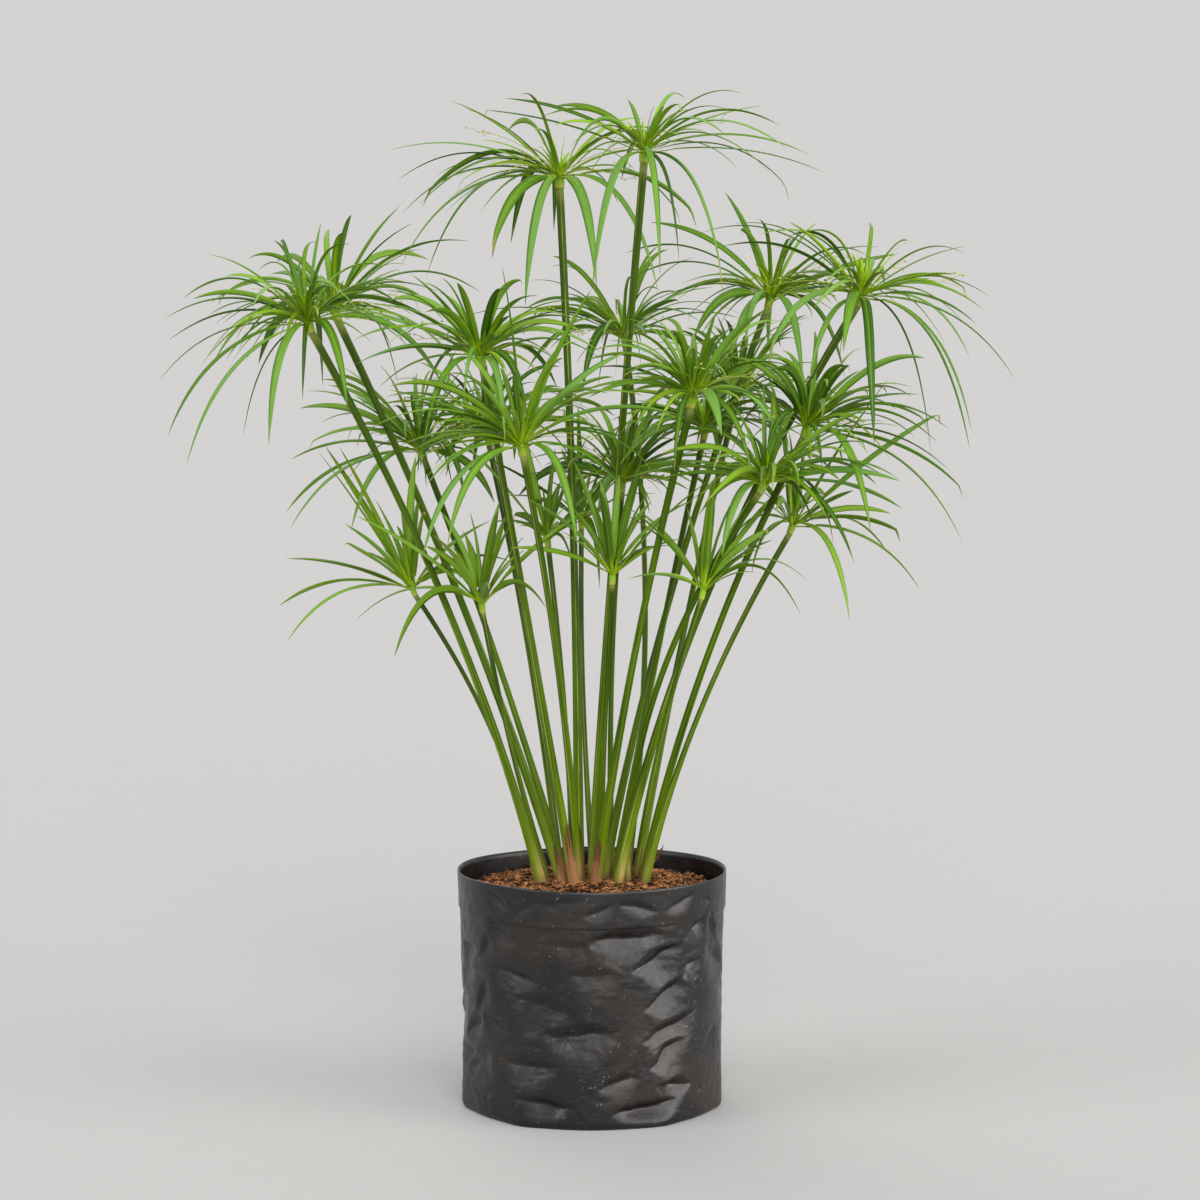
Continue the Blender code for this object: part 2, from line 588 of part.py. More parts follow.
def make_whorl(name, shoot, culm, taken, material, rng):
    """The hub and its blades as one solid."""
    blades, young = fill_whorl(shoot, rng)
    corners = YOUNG_CORNERS if young else MATURE_CORNERS
    rings = hub_rings(culm, corners)
    head = sum(rings[1], Vector()) / corners
    stations = YOUNG_STATIONS if young else LONG_STATIONS
    seats = seat_blades(blades, root_slots(rings), head)
    points = [point for one in rings for point in one]
    faces = [tuple(reversed(range(corners))), tuple(range(2 * corners, 3 * corners))]
    carried = {}
    own = []
    trees = [solid_tree(points[:3 * corners], hub_faces(corners))]
    for blade, slot in seats:
        placed = place_blade(blade, slot, head, stations, taken, own, rng)
        if placed is None:
            print(f"{name}: a blade found no clear place")
            continue
        sections, end, free, whole = placed
        own.append(free)
        trees.append(whole)
        carried[slot[:2]] = (sections, end)
    for level, corner, _ in root_slots(rings):
        low = level * corners + corner
        left = (level + 1) * corners + (corner - 1) % corners
        right = (level + 1) * corners + corner
        faces.append((low, level * corners + (corner + 1) % corners, right))
        if (level, corner) in carried:
            grow_blade(points, faces, (left, right, low), *carried[(level, corner)])
        else:
            faces.append((left, low, right))
    add_node(name, points, faces, material)
    return trees


def grow_blade(points, faces, root, sections, tip):
    """Join a blade's rings and its tip to its root triangle."""
    below = root
    for section in sections:
        start = len(points)
        points.extend(section)
        above = (start, start + 1, start + 2)
        for one, other in ((0, 1), (1, 2), (2, 0)):
            faces.append((below[one], below[other], above[other], above[one]))
        below = above
    points.append(tip)
    for one, other in ((0, 1), (1, 2), (2, 0)):
        faces.append((below[one], below[other], len(points) - 1))


def make_scale(name, culm, height, taken, material):
    """A dry pointed scale that hugs the foot of a culm, on its freest side."""
    for attempt in range(SCALE_TRIES):
        turn = -math.pi / 2 + (attempt + 1) // 2 * (1 if attempt % 2 else -1) * SCALE_TURN
        points, faces = scale_shape(culm, height, turn)
        tree = solid_tree(points, faces)
        if not any(tree.overlap(other) for other in taken):
            add_node(name, points, faces, material)
            return tree
    print(f"{name}: no clear side")
    return None


def scale_shape(culm, height, turn):
    """Inner and outer skins of one scale, in three rows of three points under a tip."""
    length = culm.head.z - culm.foot.z
    inner, outer = [], []
    for share, spread in SCALE_ROWS:
        t = share * height / length
        centre = culm.point(t)
        radius = culm.radius * CULM_FOOT_SWELL + SCALE_STANDOFF + SCALE_FLARE * share
        for column in (-1, 0, 1):
            angle = turn + column * spread * SCALE_HALF_ANGLE
            spoke = Vector((math.cos(angle), math.sin(angle), 0))
            belly = 1.0 if column == 0 else SCALE_EDGE_LIFT
            inner.append(centre + spoke * radius * belly)
            outer.append(centre + spoke * (radius * belly + SCALE_THICKNESS))
    spoke = Vector((math.cos(turn), math.sin(turn), 0))
    tip = culm.point(height / length) + spoke * (culm.radius * CULM_FOOT_SWELL + SCALE_TIP_OUT)
    points = inner + outer + [tip]
    faces = [(0, 1, 10, 9), (1, 2, 11, 10)]
    for row in range(2):
        low, high = 3 * row, 3 * row + 3
        for column in range(2):
            faces.append((low + column, high + column, high + column + 1, low + column + 1))
            faces.append((9 + low + column, 9 + low + column + 1, 9 + high + column + 1, 9 + high + column))
        faces.append((low, 9 + low, 9 + high, high))
        faces.append((low + 2, high + 2, 9 + high + 2, 9 + low + 2))
    for one, other in ((6, 7), (7, 8), (8, 17), (17, 16), (16, 15), (15, 6)):
        faces.append((one, other, 18))
    return points, faces


def main():
    """Build the bag, the peat, the culms, their whorls and the dry scales."""
    clear_scene()
    film = make_material("black_film", (0.016, 0.017, 0.019), 0.42)
    peat = make_material("coco_peat", (0.17, 0.085, 0.04), 0.95)
    stem = make_material("culm_green", (0.06, 0.16, 0.015), 0.4)
    leaf = make_material("blade_green", (0.09, 0.25, 0.03), 0.45)
    fresh = make_material("young_blade_green", (0.17, 0.38, 0.03), 0.45)
    dry = make_material("dry_scale", (0.35, 0.2, 0.09), 0.8)
    make_bag(film)
    make_peat(peat)
    culms = [Culm(shoot) for shoot in SHOOTS]
    part_culms(culms)
    taken = [make_culm(f"culm_{k + 1:02d}", culm, stem) for k, culm in enumerate(culms)]
    scales = []
    for number, (index, height) in enumerate(zip(SCALE_CULMS, SCALE_HEIGHTS)):
        tree = make_scale(f"scale_{number + 1:02d}", culms[index], height, taken + scales, dry)
        if tree:
            scales.append(tree)
    taken.extend(scales)
    rng = random.Random(24)
    rooms = [hub_room(culm) for culm in culms]
    for k, (shoot, culm) in enumerate(zip(SHOOTS, culms)):
        finish = fresh if culm.head.z < YOUNG_BELOW else leaf
        blocked = taken + rooms[k + 1:]
        taken.extend(make_whorl(f"whorl_{k + 1:02d}", shoot, culm, blocked, finish, rng))


main()
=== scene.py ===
"""Finish of the potted umbrella sedge: film bag, peat, culms, leafy umbrellas and dry scales.

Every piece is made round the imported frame: the culms and the blades follow the middle lines of
the frame's own solids, and the bag and the peat repeat the sizes of theirs. Sizes are in metres
unless their comment says otherwise, and a pair is the smallest and largest of a seeded choice.
"""

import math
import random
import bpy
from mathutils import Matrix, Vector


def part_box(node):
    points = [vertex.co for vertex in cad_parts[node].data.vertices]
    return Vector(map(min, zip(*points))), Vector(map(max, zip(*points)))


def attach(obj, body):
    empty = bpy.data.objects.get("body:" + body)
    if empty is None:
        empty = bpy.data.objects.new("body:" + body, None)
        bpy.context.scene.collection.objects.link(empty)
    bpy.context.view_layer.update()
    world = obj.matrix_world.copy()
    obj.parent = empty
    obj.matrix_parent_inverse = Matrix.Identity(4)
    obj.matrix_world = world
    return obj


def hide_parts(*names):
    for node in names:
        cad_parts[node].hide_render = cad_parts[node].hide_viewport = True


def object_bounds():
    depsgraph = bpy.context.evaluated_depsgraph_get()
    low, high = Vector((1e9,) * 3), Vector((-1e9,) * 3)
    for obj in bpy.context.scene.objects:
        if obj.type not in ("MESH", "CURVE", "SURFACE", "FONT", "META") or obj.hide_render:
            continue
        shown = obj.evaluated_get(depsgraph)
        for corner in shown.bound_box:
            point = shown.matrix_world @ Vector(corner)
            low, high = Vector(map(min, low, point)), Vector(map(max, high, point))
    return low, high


bl_info = {
    "name": "Potted umbrella sedge",
    "version": (1, 0, 0),
    "blender": (4, 5, 0),
    "location": "View3D > Sidebar > Sedge",
    "description": "Builds the finished pieces of a potted umbrella sedge round its frame",
    "category": "Add Mesh",
}

import bpy
from bpy.props import FloatProperty, FloatVectorProperty, IntProperty, PointerProperty
from mathutils import Matrix, Vector, noise

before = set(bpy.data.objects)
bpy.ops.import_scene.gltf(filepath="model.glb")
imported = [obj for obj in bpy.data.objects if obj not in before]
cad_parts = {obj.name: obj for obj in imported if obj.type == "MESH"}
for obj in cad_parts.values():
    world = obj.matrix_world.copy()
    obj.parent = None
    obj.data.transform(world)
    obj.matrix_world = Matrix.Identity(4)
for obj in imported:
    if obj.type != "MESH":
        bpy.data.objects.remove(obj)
CAD_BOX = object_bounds()

MM = 0.001
BODY = "root"
UP = Vector((0, 0, 1))
BACK = Vector((0, 1, 0))
LEVEL = (Vector((1, 0, 0)), BACK)

# Grow bag
BAG_HEIGHT = 0.178
BAG_RIM_RADIUS = 0.100
BAG_BASE_RADIUS = 0.0972
BAG_FOOT_RADIUS = 0.0945
BAG_WAIST = 0.00072
BAG_WAVE = 0.0005
BAG_WALL = 0.0013
BAG_FLOOR = 0.0016
INNER_RADIUS = 0.0885
CUFF_EDGE = BAG_HEIGHT - 0.0285
CUFF_PROUD = 0.0009
CORNER_BULGE = 0.0030
CORNER_REST = 0.45
CORNER_WIDTH = 0.16
CORNER_ANGLES = tuple(math.radians(angle) for angle in (-170, -122, -58, -10, 35, 90, 145))
BAG_SEGMENTS = 480
WALL_ROWS = 128
CUFF_ROWS = 18
WALL_START, WALL_END = 0.0050, CUFF_EDGE - 0.0012
CUFF_START, CUFF_END = CUFF_EDGE + 0.0020, BAG_HEIGHT - 0.0016
CUFF_STIFFNESS, RIM_STIFFNESS, FOOT_STIFFNESS = 0.25, 0.85, 0.75
RIM_ROLL = 0.00065
RIM_STEPS = 6
RIM_SWAY_DEPTH = 0.03
RIM_DIP = 0.0006
LINING_HEIGHTS = (0.176, 0.174, 0.171, 0.168, 0.164, 0.160)
INNER_HEIGHTS = (0.150, 0.008, BAG_FLOOR)

# Rings of the foot and of the cuff's lower edge: height and step out of the wall
FOOT_LEVELS = (
    (0.0, BAG_FOOT_RADIUS - BAG_BASE_RADIUS), (0.0006, -0.0016), (0.0018, -0.0008), (0.0035, -0.0002),
)
CUFF_LEVELS = (
    (CUFF_EDGE - 0.0006, 0.0), (CUFF_EDGE - 0.0001, 0.0001), (CUFF_EDGE + 0.0001, CUFF_PROUD * 0.75),
    (CUFF_EDGE + 0.0008, CUFF_PROUD),
)

# Buckles of the film in front, in millimetres: place across and height of the valley line,
# half length, half height, depth, and slant in degrees
FRONT_BUCKLES = (
    (26, 142, 32, 20, 3.4, 3), (50, 126, 25, 17, 3.0, 23), (57, 101, 24, 16, 2.9, 27),
    (-58, 112, 25, 21, 2.4, -10), (-37, 90, 27, 20, 2.2, -13), (-8, 71, 31, 20, 2.4, 1),
    (-47, 47, 27, 18, 2.2, 1), (-34, 18, 27, 14, 2.2, -4), (42, 15, 30, 14, 3.3, 11),
    (62, 30, 18, 13, 2.7, -5), (22, 35, 18, 12, 1.8, 13), (60, 73, 27, 17, 3.0, 21),
    (57, 54, 19, 14, 2.4, 31), (77, 146, 15, 12, 1.9, 32), (-66, 143, 16, 13, 1.4, -36),
    (75, 116, 13, 10, 1.8, 13), (-80, 132, 13, 12, 1.2, 55), (-84, 92, 16, 12, 1.3, 60),
    (2, 116, 22, 16, 0.9, -5), (-16, 137, 22, 13, 0.9, -1), (-72, 74, 17, 12, 1.4, -25),
    (-68, 166, 16, 8, 1.2, -25), (-24, 169, 20, 8, 1.0, 14), (34, 166, 18, 8, 1.5, -12),
    (64, 168, 15, 8, 1.7, 20), (84, 164, 9, 7, 1.4, -30), (4, 164, 14, 7, 1.0, 22),
    (-46, 163, 13, 6, 0.8, 30),
)
BUCKLE_REACH = 0.04
UPPER_SHARE, UPPER_SLOPE = 0.45, 1.25
LOWER_SHARE, LOWER_SLOPE = 1.6, 1.8
BUCKLE_TAPER = 1.4
BUCKLE_BEND = 0.0034
FILM_SEED = 4                          # of the noise that bends buckles and creases

# Seeded buckles round the rest of the bag: lengths in millimetres, the other sizes against them
OTHER_BUCKLES = 58
FRONT_HALF = math.radians(58)
OTHER_LENGTH = (11, 27)
OTHER_REACH = (0.55, 0.85)
OTHER_DEPTH = (0.06, 0.09)
OTHER_HEIGHT = (0.010, 0.148)
OTHER_SLANT = 28                       # degrees

# Creases: how many round the bag's radius, how much they are squeezed in height
LARGE_CREASES, SMALL_CREASES = 5.2, 12.0
CREASE_STRETCH = 1.35
CREASE_SHIFT = Vector((3.1, 0, 0))

# Drain hole
HOLE_ANGLE = math.radians(-35)
HOLE_HEIGHT = 0.022
HOLE_RADIUS = 0.0030
HOLE_DEPTH = 0.0012
# Near black painted in the middle of the dimple, as painted shade where the hole opens
HOLE_PAINTED_SHADE = (0.0005, 0.0005, 0.0005)

# Peat
PEAT_TOP = 0.169
PEAT_EDGE = 0.163
PEAT_FLAT_RADIUS = 0.044
PEAT_SLOPE_RADIUS = 0.094
PEAT_RADIUS = BAG_BASE_RADIUS - BAG_WALL - 0.0016
PEAT_OVERHANG = 0.0012
PEAT_LOWER_RADIUS = INNER_RADIUS - 0.001
PEAT_FLOOR = BAG_FLOOR + 0.0006
PEAT_SIDES = (
    (PEAT_FLOOR, PEAT_LOWER_RADIUS), (0.010, PEAT_LOWER_RADIUS), (0.150, PEAT_LOWER_RADIUS),
    (0.158, PEAT_RADIUS),
)
PEAT_SINK = 0.004
PEAT_ROWS, PEAT_SEGMENTS = 110, 300

# Lumps of the peat: how many to a metre, share of the lumps' height, and place in the noise
PEAT_LUMPS = (
    (60, 0.75, (0, 0, 0)), (190, 0.45, (5, 0, 0)), (520, 0.28, (0, 9, 0)), (1150, 0.14, (0, 0, 0)),
)

# Crumbs and fibres, sizes in millimetres
CRUMB_SIZE = (0.5, 1.55)
CRUMB_FORM = ((0.8, 2.1), (0.7, 1.2), (0.5, 0.9))
CRUMB_RINGS = ((-0.55, 0.8, 0.0), (0.35, 0.95, 0.5))
CRUMB_SIDES = 5
SMALL_SHARE, LARGE_CRUMB = 0.85, 1.7
CRUMB_LIFT = 0.35
LITTER_RADIUS = 0.0925
FOOT_CLEARANCE = 0.004
FIBRE_START_RADIUS = 0.088
FIBRE_LENGTH = (3.0, 13.0)
FIBRE_THICKNESS = (0.16, 0.48)
FIBRE_STEPS = 5
YELLOW_BITS = ((-4, -80), (-2, -81), (-3, -82.5), (-1, -83), (1, -82))
YELLOW_TONE = 3.0
YELLOW_LEAF = (0.50, 0.36, 0.05)

# Culms
CULMS = range(1, 25)
CULM_RINGS, CULM_SIDES = 5, 6          # of the frame's solids
CULM_ROWS, CULM_SEGMENTS = 56, 18
CULM_FIT, CULM_SLIMMER = 0.97, 0.22
FOOT_SWELL, FOOT_SWELL_HEIGHT = 0.10, 0.012
FOOT_STAIN = (0.12, 0.065, 0.03)

# Whorls, and the place along the frame's blades of their middle ring
YOUNG_WHORLS = (10, 11, 12, 13, 14, 19, 21)
LONG_MIDDLE, YOUNG_MIDDLE = 0.58, 0.74
LONG_RINGS, YOUNG_RINGS = 3, 2
MERGE_DISTANCE = 1e-5

# Blades: widths and lengths in millimetres, shares of the whorl's reach where named so
BLADE_STEPS, HEART_STEPS = 22, 10
WIDE_FROM, WIDE_TO = 0.28, 0.52         # where a blade has its full width
BLADE_WAVE = 0.010
KINK_PLACE, UNBENT = (0.86, 0.94), 2.0
SLIMMED = (0.55, 1.0)
THINNEST = 0.0001
KEEL_DROP = 0.00012
BENT_SHARE = 0.14
ROOT_SHARE = 0.45
YOUNG_TINT, YOUNG_BRIGHTER, CHANNEL_BRIGHTER = 0.14, 0.06, 1.35
AIRY_FROM, AIRY_TO = 0.58, 0.63        # heights between which the whorls grow airy
DENSE_FROM, DENSE_TO = 0.60, 0.54      # heights between which they grow dense, downwards
THIN_LIFT, YOUNG_LIFT = (-0.45, 0.55), (0.3, 0.8)
THIN_WIDTH = (1.8, 4.4)
THIN_REACH = (0.55, 0.95)
INNER_MORE = 9
INNER_WIDTH = (2.4, 6.2)
INNER_LENGTH = (92, 128)
INNER_ARCH, INNER_DROOP = (0.20, 0.38), (0.0, 0.22)
YOUNG_INNER_LIFT, YOUNG_ARCH = (0.50, 0.97), 0.10
YOUNG_INNER_WIDTH = (4.0, 6.8)
YOUNG_INNER_LENGTH = (98, 146)
GOLDEN_TURN = 2.4                      # radians from one inner blade to the next
HEART_LEAVES, YOUNG_HEART_LEAVES = 18, 3
HEART_WIDTH = (1.6, 3.6)
HEART_LENGTH = (14, 40)
RAY_REACH = (0.35, 0.85)
FORKED_SHARE = 0.5
RAY_RADIUS = (0.28, 0.42)
TWIG_LENGTH = (5, 14)
TWIG_RADIUS = 0.20
WIRE_STEPS, WIRE_SIDES = 12, 4
WIRE_SIZE = 0.05
WIRE_AID = Vector((0.31, 0.17, 1))     # any way that no ray runs along
SPIKELET_AID = Vector((0.3, 0.2, 1))
SPIKELET_LENGTH = (2.0, 3.6)
SPIKELET_SIDES = 5
SPIKELET_RINGS = ((0.25, 0.216), (0.6, 0.24))
COLLAR_SIDES = 16
COLLAR_TOP, COLLAR_FOOT = 0.0045, 0.0012

# Rings of the collar: place along it, width against the culm's, and dryness
COLLAR_LEVELS = (
    (0.0, 0.96, 0.2), (0.12, 1.02, 0.55), (0.26, 1.03, 0.3), (0.42, 1.10, 0.05), (0.62, 1.05, 0.0),
    (0.82, 0.75, 0.0), (0.96, 0.4, 0.0),
)

# Dry scales
SCALES = range(1, 9)
SCALE_SPREAD = math.radians(62)
SCALE_ROWS, SCALE_COLUMNS = 18, 21
SCALE_GAP = 0.0003
SCALE_THICKNESS = 0.00035
SCALE_LEAN, SCALE_LEAN_START = (0.001, 0.004), 0.55
SCALE_SINK = 0.002
LONGEST_POINT = (6, 15)                # columns among which the longest point is
PEELED_SCALE = 5                       # the scale that stands away from its culm
PEELED_TURN = math.radians(-50)
PEELED_LEAN, PEELED_LEAN_START = (0.0145, -0.001, 0.0), -0.3
PEELED_SHARE = 0.72

# Sky: places on the way from the horizon to overhead, and their colours
SKY_STOPS = (
    (0.08, (0.66, 0.648, 0.635, 1)), (0.26, (0.78, 0.78, 0.79, 1)), (0.60, (0.72, 0.74, 0.77, 1)),
    (0.90, (0.40, 0.41, 0.43, 1)),
)

# Soft lights: name, place they shine from, strength, width in degrees and colour
LIGHTS = (
    ("left", (-1.5, -0.8, 1.00), 1.05, 42, (0.97, 0.985, 1.0)),
    ("key", (0.25, -1.6, 1.00), 1.60, 42, (1.0, 0.985, 0.95)),
    ("right", (1.60, -0.72, 0.34), 3.00, 54, (1.0, 0.97, 0.95)),
    ("front", (0.15, -1.6, 0.42), 0.50, 34, (0.95, 0.98, 1.0)),
    ("back", (-0.4, 1.3, 1.30), 0.85, 42, (1.0, 0.98, 0.95)),
)
SENSOR_WIDTH = 36                      # millimetres
FLOOR_REACH = 30.0
FLOOR_DROP = 0.0002
FLOOR_SHADE = 0.96


# Settings


def tint(name, description, default):
    """A colour that a user may change."""
    return FloatVectorProperty(
        name=name, description=description, subtype="COLOR", default=default, min=0, max=1)


class SedgeBagSettings(bpy.types.PropertyGroup):
    """Sizes and colours of the film bag."""

    film: tint("Film", "Colour of the black film", (0.0022, 0.0024, 0.0032))
    film_brown: tint("Dusty film", "Colour of the film where dust dulls it", (0.012, 0.0075, 0.0045))
    dust: tint("Dust", "Colour of the specks on the film", (0.42, 0.33, 0.25))
    buckle: FloatProperty(
        name="Buckles", description="Depth of the film's buckles against the measured ones",
        default=2.05, min=0, max=3)
    crease: FloatProperty(
        name="Creases", description="Height of the small creases between the buckles",
        default=0.0005, unit="LENGTH")


class SedgePeatSettings(bpy.types.PropertyGroup):
    """Sizes and colours of the coco peat."""

    dark: tint("Dark peat", "Colour between the crumbs", (0.014, 0.006, 0.003))
    light: tint("Light peat", "Colour of the driest crumbs", (0.45, 0.195, 0.078))
    lump: FloatProperty(
        name="Lumps", description="Height of the lumps in the peat", default=0.0021, unit="LENGTH")
    crumbs: IntProperty(name="Crumbs", description="Number of loose crumbs", default=3300, min=0)
    fibres: IntProperty(name="Fibres", description="Number of loose fibres", default=850, min=0)


class SedgeCulmSettings(bpy.types.PropertyGroup):
    """Colours of the culms."""

    deep: tint("Deep green", "Darkest green of a culm", (0.012, 0.036, 0.001))
    fresh: tint("Fresh green", "Main green of a culm", (0.100, 0.182, 0.003))
    edge: tint("Edge", "Pale lines along the edges of a culm", (0.34, 0.36, 0.09))
    low: tint("Low green", "Yellow green of a culm's lower part", (0.118, 0.182, 0.002))
    foot: tint("Foot", "Tan colour at the foot of a culm", (0.46, 0.31, 0.11))


class SedgeBladeSettings(bpy.types.PropertyGroup):
    """Numbers and colours of the blades."""

    deep: tint("Deep green", "Darkest green of a blade", (0.028, 0.088, 0.001))
    leaf: tint("Leaf green", "Main green of a blade", (0.145, 0.300, 0.012))
    # Painted sheen: a bluish green that stands for the sky's reflection on broad blades
    painted_sheen: tint("Sheen green", "Bluish green of some broad blades", (0.118, 0.262, 0.048))
    young: tint("Young green", "Yellow green at the heart of a whorl", (0.37, 0.57, 0.008))
    dry: tint("Dry tip", "Colour of dry tips, rays and collars", (0.50, 0.33, 0.12))
    thin_blades: IntProperty(
        name="Thin blades", description="Narrow blades added to each mature whorl", default=15, min=0)
    rays: IntProperty(
        name="Rays", description="Wiry rays in each mature whorl", default=9, min=0)
    inner_blades: IntProperty(
        name="Inner blades", description="Broad rising blades added to each whorl", default=17, min=0)


class SedgeScaleSettings(bpy.types.PropertyGroup):
    """Colours of the dry scales."""

    # Both browns are partly the scale's own colour and partly painted shade: they are darkened as for
    # sheaths in the shade between the culms
    pale: tint("Pale scale", "Light papery colour", (0.27, 0.128, 0.049))
    dark: tint("Dark scale", "Brown of the veins and the torn edge", (0.085, 0.027, 0.010))


class SedgeStageSettings(bpy.types.PropertyGroup):
    """Camera and floor."""

    distance: FloatProperty(
        name="Distance", description="Camera distance from the bag's axis", default=2.7, unit="LENGTH")
    height: FloatProperty(
        name="Height", description="Camera height above the floor", default=0.6423, unit="LENGTH")
    pitch: FloatProperty(
        name="Pitch", description="How far the camera looks down", default=math.radians(5.556),
        subtype="ANGLE")
    yaw: FloatProperty(
        name="Yaw", description="How far the camera looks to the right", default=math.radians(0.13),
        subtype="ANGLE")
    lens: FloatProperty(name="Lens", description="Focal length in millimetres", default=109.25)
    floor: tint("Floor", "Colour of the floor", (0.463, 0.453, 0.444))


class SedgeSettings(bpy.types.PropertyGroup):
    """All settings of the plant."""

    bag: PointerProperty(type=SedgeBagSettings)
    peat: PointerProperty(type=SedgePeatSettings)
    culm: PointerProperty(type=SedgeCulmSettings)
    blade: PointerProperty(type=SedgeBladeSettings)
    scale: PointerProperty(type=SedgeScaleSettings)
    stage: PointerProperty(type=SedgeStageSettings)


# Mesh and material helpers


class Skin:
    """Points, faces and point marks of one piece while it is being made."""

    def __init__(self, *marks):
        self.points = []
        self.faces = []
        self.marks = {name: [] for name in marks}

    def point(self, place, **marks):
        """Add one point and give its number."""
        self.points.append(place)
        for name, values in self.marks.items():
            values.append(marks.get(name, 0.0))
        return len(self.points) - 1

    def hoop(self, centre, radius, sides, count, **marks):
        """Add a round ring of points about a centre."""
        side, front = sides
        return [
            self.point(centre + radius * (math.cos(angle) * side + math.sin(angle) * front), **marks)
            for angle in turns(count)
        ]

    def loft(self, rings):
        """Join rings of point numbers, one after the other."""
        for below, above in zip(rings, rings[1:]):
            count = len(below)
            for k in range(count):
                after = (k + 1) % count
                self.faces.append((below[k], below[after], above[after], above[k]))

    def fan(self, ring, tip, outward=True):
        """Close a ring to one point."""
        for k, one in enumerate(ring):
            other = ring[(k + 1) % len(ring)]
            self.faces.append((one, other, tip) if outward else (other, one, tip))

    def cap(self, rings):
        """Close both ends of a row of rings with flat faces."""
        self.faces.append(tuple(reversed(rings[0])))
        self.faces.append(tuple(rings[-1]))

    def piece(self, name, material, slot, *nodes):
        """Make the object, let it ride with the frame, and put it in its nodes' place."""
        mesh = bpy.data.meshes.new(name)
        mesh.from_pydata(self.points, [], self.faces)
        for mark, values in self.marks.items():
            mesh.attributes.new(mark, "FLOAT", "POINT").data.foreach_set("value", values)
        mesh.materials.append(material)
        mesh.shade_smooth()
        piece = bpy.data.objects.new(name, mesh)
        bpy.context.scene.collection.objects.link(piece)
        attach(piece, BODY)
        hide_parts(*nodes)
        return piece


class Finish:
    """A material's nodes, in short forms."""

    def __init__(self, name, roughness, specular):
        self.material = bpy.data.materials.new(name)
        self.material.use_nodes = True
        self.nodes = self.material.node_tree.nodes
        self.links = self.material.node_tree.links
        self.shader = self.nodes["Principled BSDF"]
        self.shader.inputs["Roughness"].default_value = roughness
        self.shader.inputs["Specular IOR Level"].default_value = specular

    def put(self, socket, value):
        """Link an output to a socket, or set the socket's value."""
        if isinstance(value, bpy.types.NodeSocket):
            self.links.new(value, socket)
        elif socket.type == "RGBA" and len(value) == 3:
            socket.default_value = (*value, 1.0)
        else:
            socket.default_value = value

    def node(self, kind, values, **options):
        """Make a node, choose its options and fill its sockets."""
        node = self.nodes.new(f"ShaderNode{kind}")
        for option, choice in options.items():
            setattr(node, option, choice)
        for socket, value in values.items():
            self.put(node.inputs[socket], value)
        return node

    def mark(self, name):
        """A point mark of the mesh."""
        return self.node("Attribute", {}, attribute_name=name).outputs["Fac"]

    def place(self):
        """The point's place in the object."""
        return self.node("TexCoord", {}).outputs["Object"]

    def math(self, operation, first, second=0.0, clamp=False):
        """One step of arithmetic."""
        node = self.node("Math", {0: first, 1: second}, operation=operation, use_clamp=clamp)
        return node.outputs[0]

    def times(self, first, second, clamp=False):
        """Product of two values."""
        return self.math("MULTIPLY", first, second, clamp)

    def plus(self, first, second):
        """Sum of two values."""
        return self.math("ADD", first, second)

    def span(self, value, low, high, start=0.0, end=1.0):
        """The value's way from low to high, smoothed, as start to end."""
        values = dict(enumerate((value, low, high, start, end)))
        return self.node("MapRange", values, interpolation_type="SMOOTHSTEP").outputs[0]

    def stretch(self, vector, scale):
        """A place stretched along the axes."""
        return self.node("Mapping", {"Vector": vector, "Scale": scale}).outputs[0]

    def noise(self, vector, scale, detail=3.0, roughness=0.55, bend=0.0):
        """Cloudy noise."""
        values = {"Vector": vector, "Scale": scale, "Detail": detail, "Roughness": roughness}
        return self.node("TexNoise", values | {"Distortion": bend}).outputs["Fac"]

    def combed(self, across, along, seed, detail, roughness=0.55):
        """Noise drawn out along a stem, a leaf or a scale."""
        vector = self.node("CombineXYZ", {0: across, 1: along, 2: seed}).outputs[0]
        return self.noise(vector, 1.0, detail, roughness)

    def cells(self, vector, scale, feature="F1"):
        """Distances in a pattern of cells."""
        node = self.node("TexVoronoi", {"Vector": vector, "Scale": scale}, feature=feature)
        return node.outputs["Distance"]

    def mix(self, share, first, second):
        """One colour laid over another by its share."""
        node = self.node("Mix", {"Factor": share}, data_type="RGBA")
        colours = [socket for socket in node.inputs if socket.type == "RGBA"]
        self.put(colours[0], first)
        self.put(colours[1], second)
        return [socket for socket in node.outputs if socket.type == "RGBA"][0]

    def bump(self, height, distance, strength, below=None):
        """Relief that bends the light, over another relief if there is one."""
        node = self.node("Bump", {"Height": height, "Distance": distance, "Strength": strength})
        if below is not None:
            self.put(node.inputs["Normal"], below)
        return node.outputs["Normal"]

    def done(self, colour, normal=None, roughness=None):
        """Join the colour, the bump and the roughness to the shader."""
        self.put(self.shader.inputs["Base Color"], colour)
        if normal is not None:
            self.put(self.shader.inputs["Normal"], normal)
        if roughness is not None:
            self.put(self.shader.inputs["Roughness"], roughness)
        return self.material


# Arithmetic


def smooth(value, low, high):
    """The value's way from low to high, eased at both ends; high may be the smaller."""
    share = min(max((value - low) / (high - low), 0.0), 1.0)
    return share * share * (3 - 2 * share)


def bezier(ends, t):
    """Point of a quadratic curve."""
    start, bend, end = ends
    return (1 - t) ** 2 * start + 2 * t * (1 - t) * bend + t ** 2 * end


def heading(ends, t):
    """Direction of a quadratic curve."""
    start, bend, end = ends
    return ((1 - t) * (bend - start) + t * (end - bend)).normalized()


def angle_between(first, second):
    """Smallest turn from one angle to the other."""
    return (second - first + math.pi) % (2 * math.pi) - math.pi


def turns(count, start=0.0):
    """Evenly spaced angles of a ring."""
    return [2 * math.pi * (k + start) / count for k in range(count)]


def level(angle, height=0.0):
    """Level direction at an angle, with a height."""
    return Vector((math.cos(angle), math.sin(angle), height))


def square_to(axis, other=BACK):
    """Two directions square to an axis and to each other."""
    side = axis.cross(other).normalized()
    return side, axis.cross(side)


# Shapes read from the frame


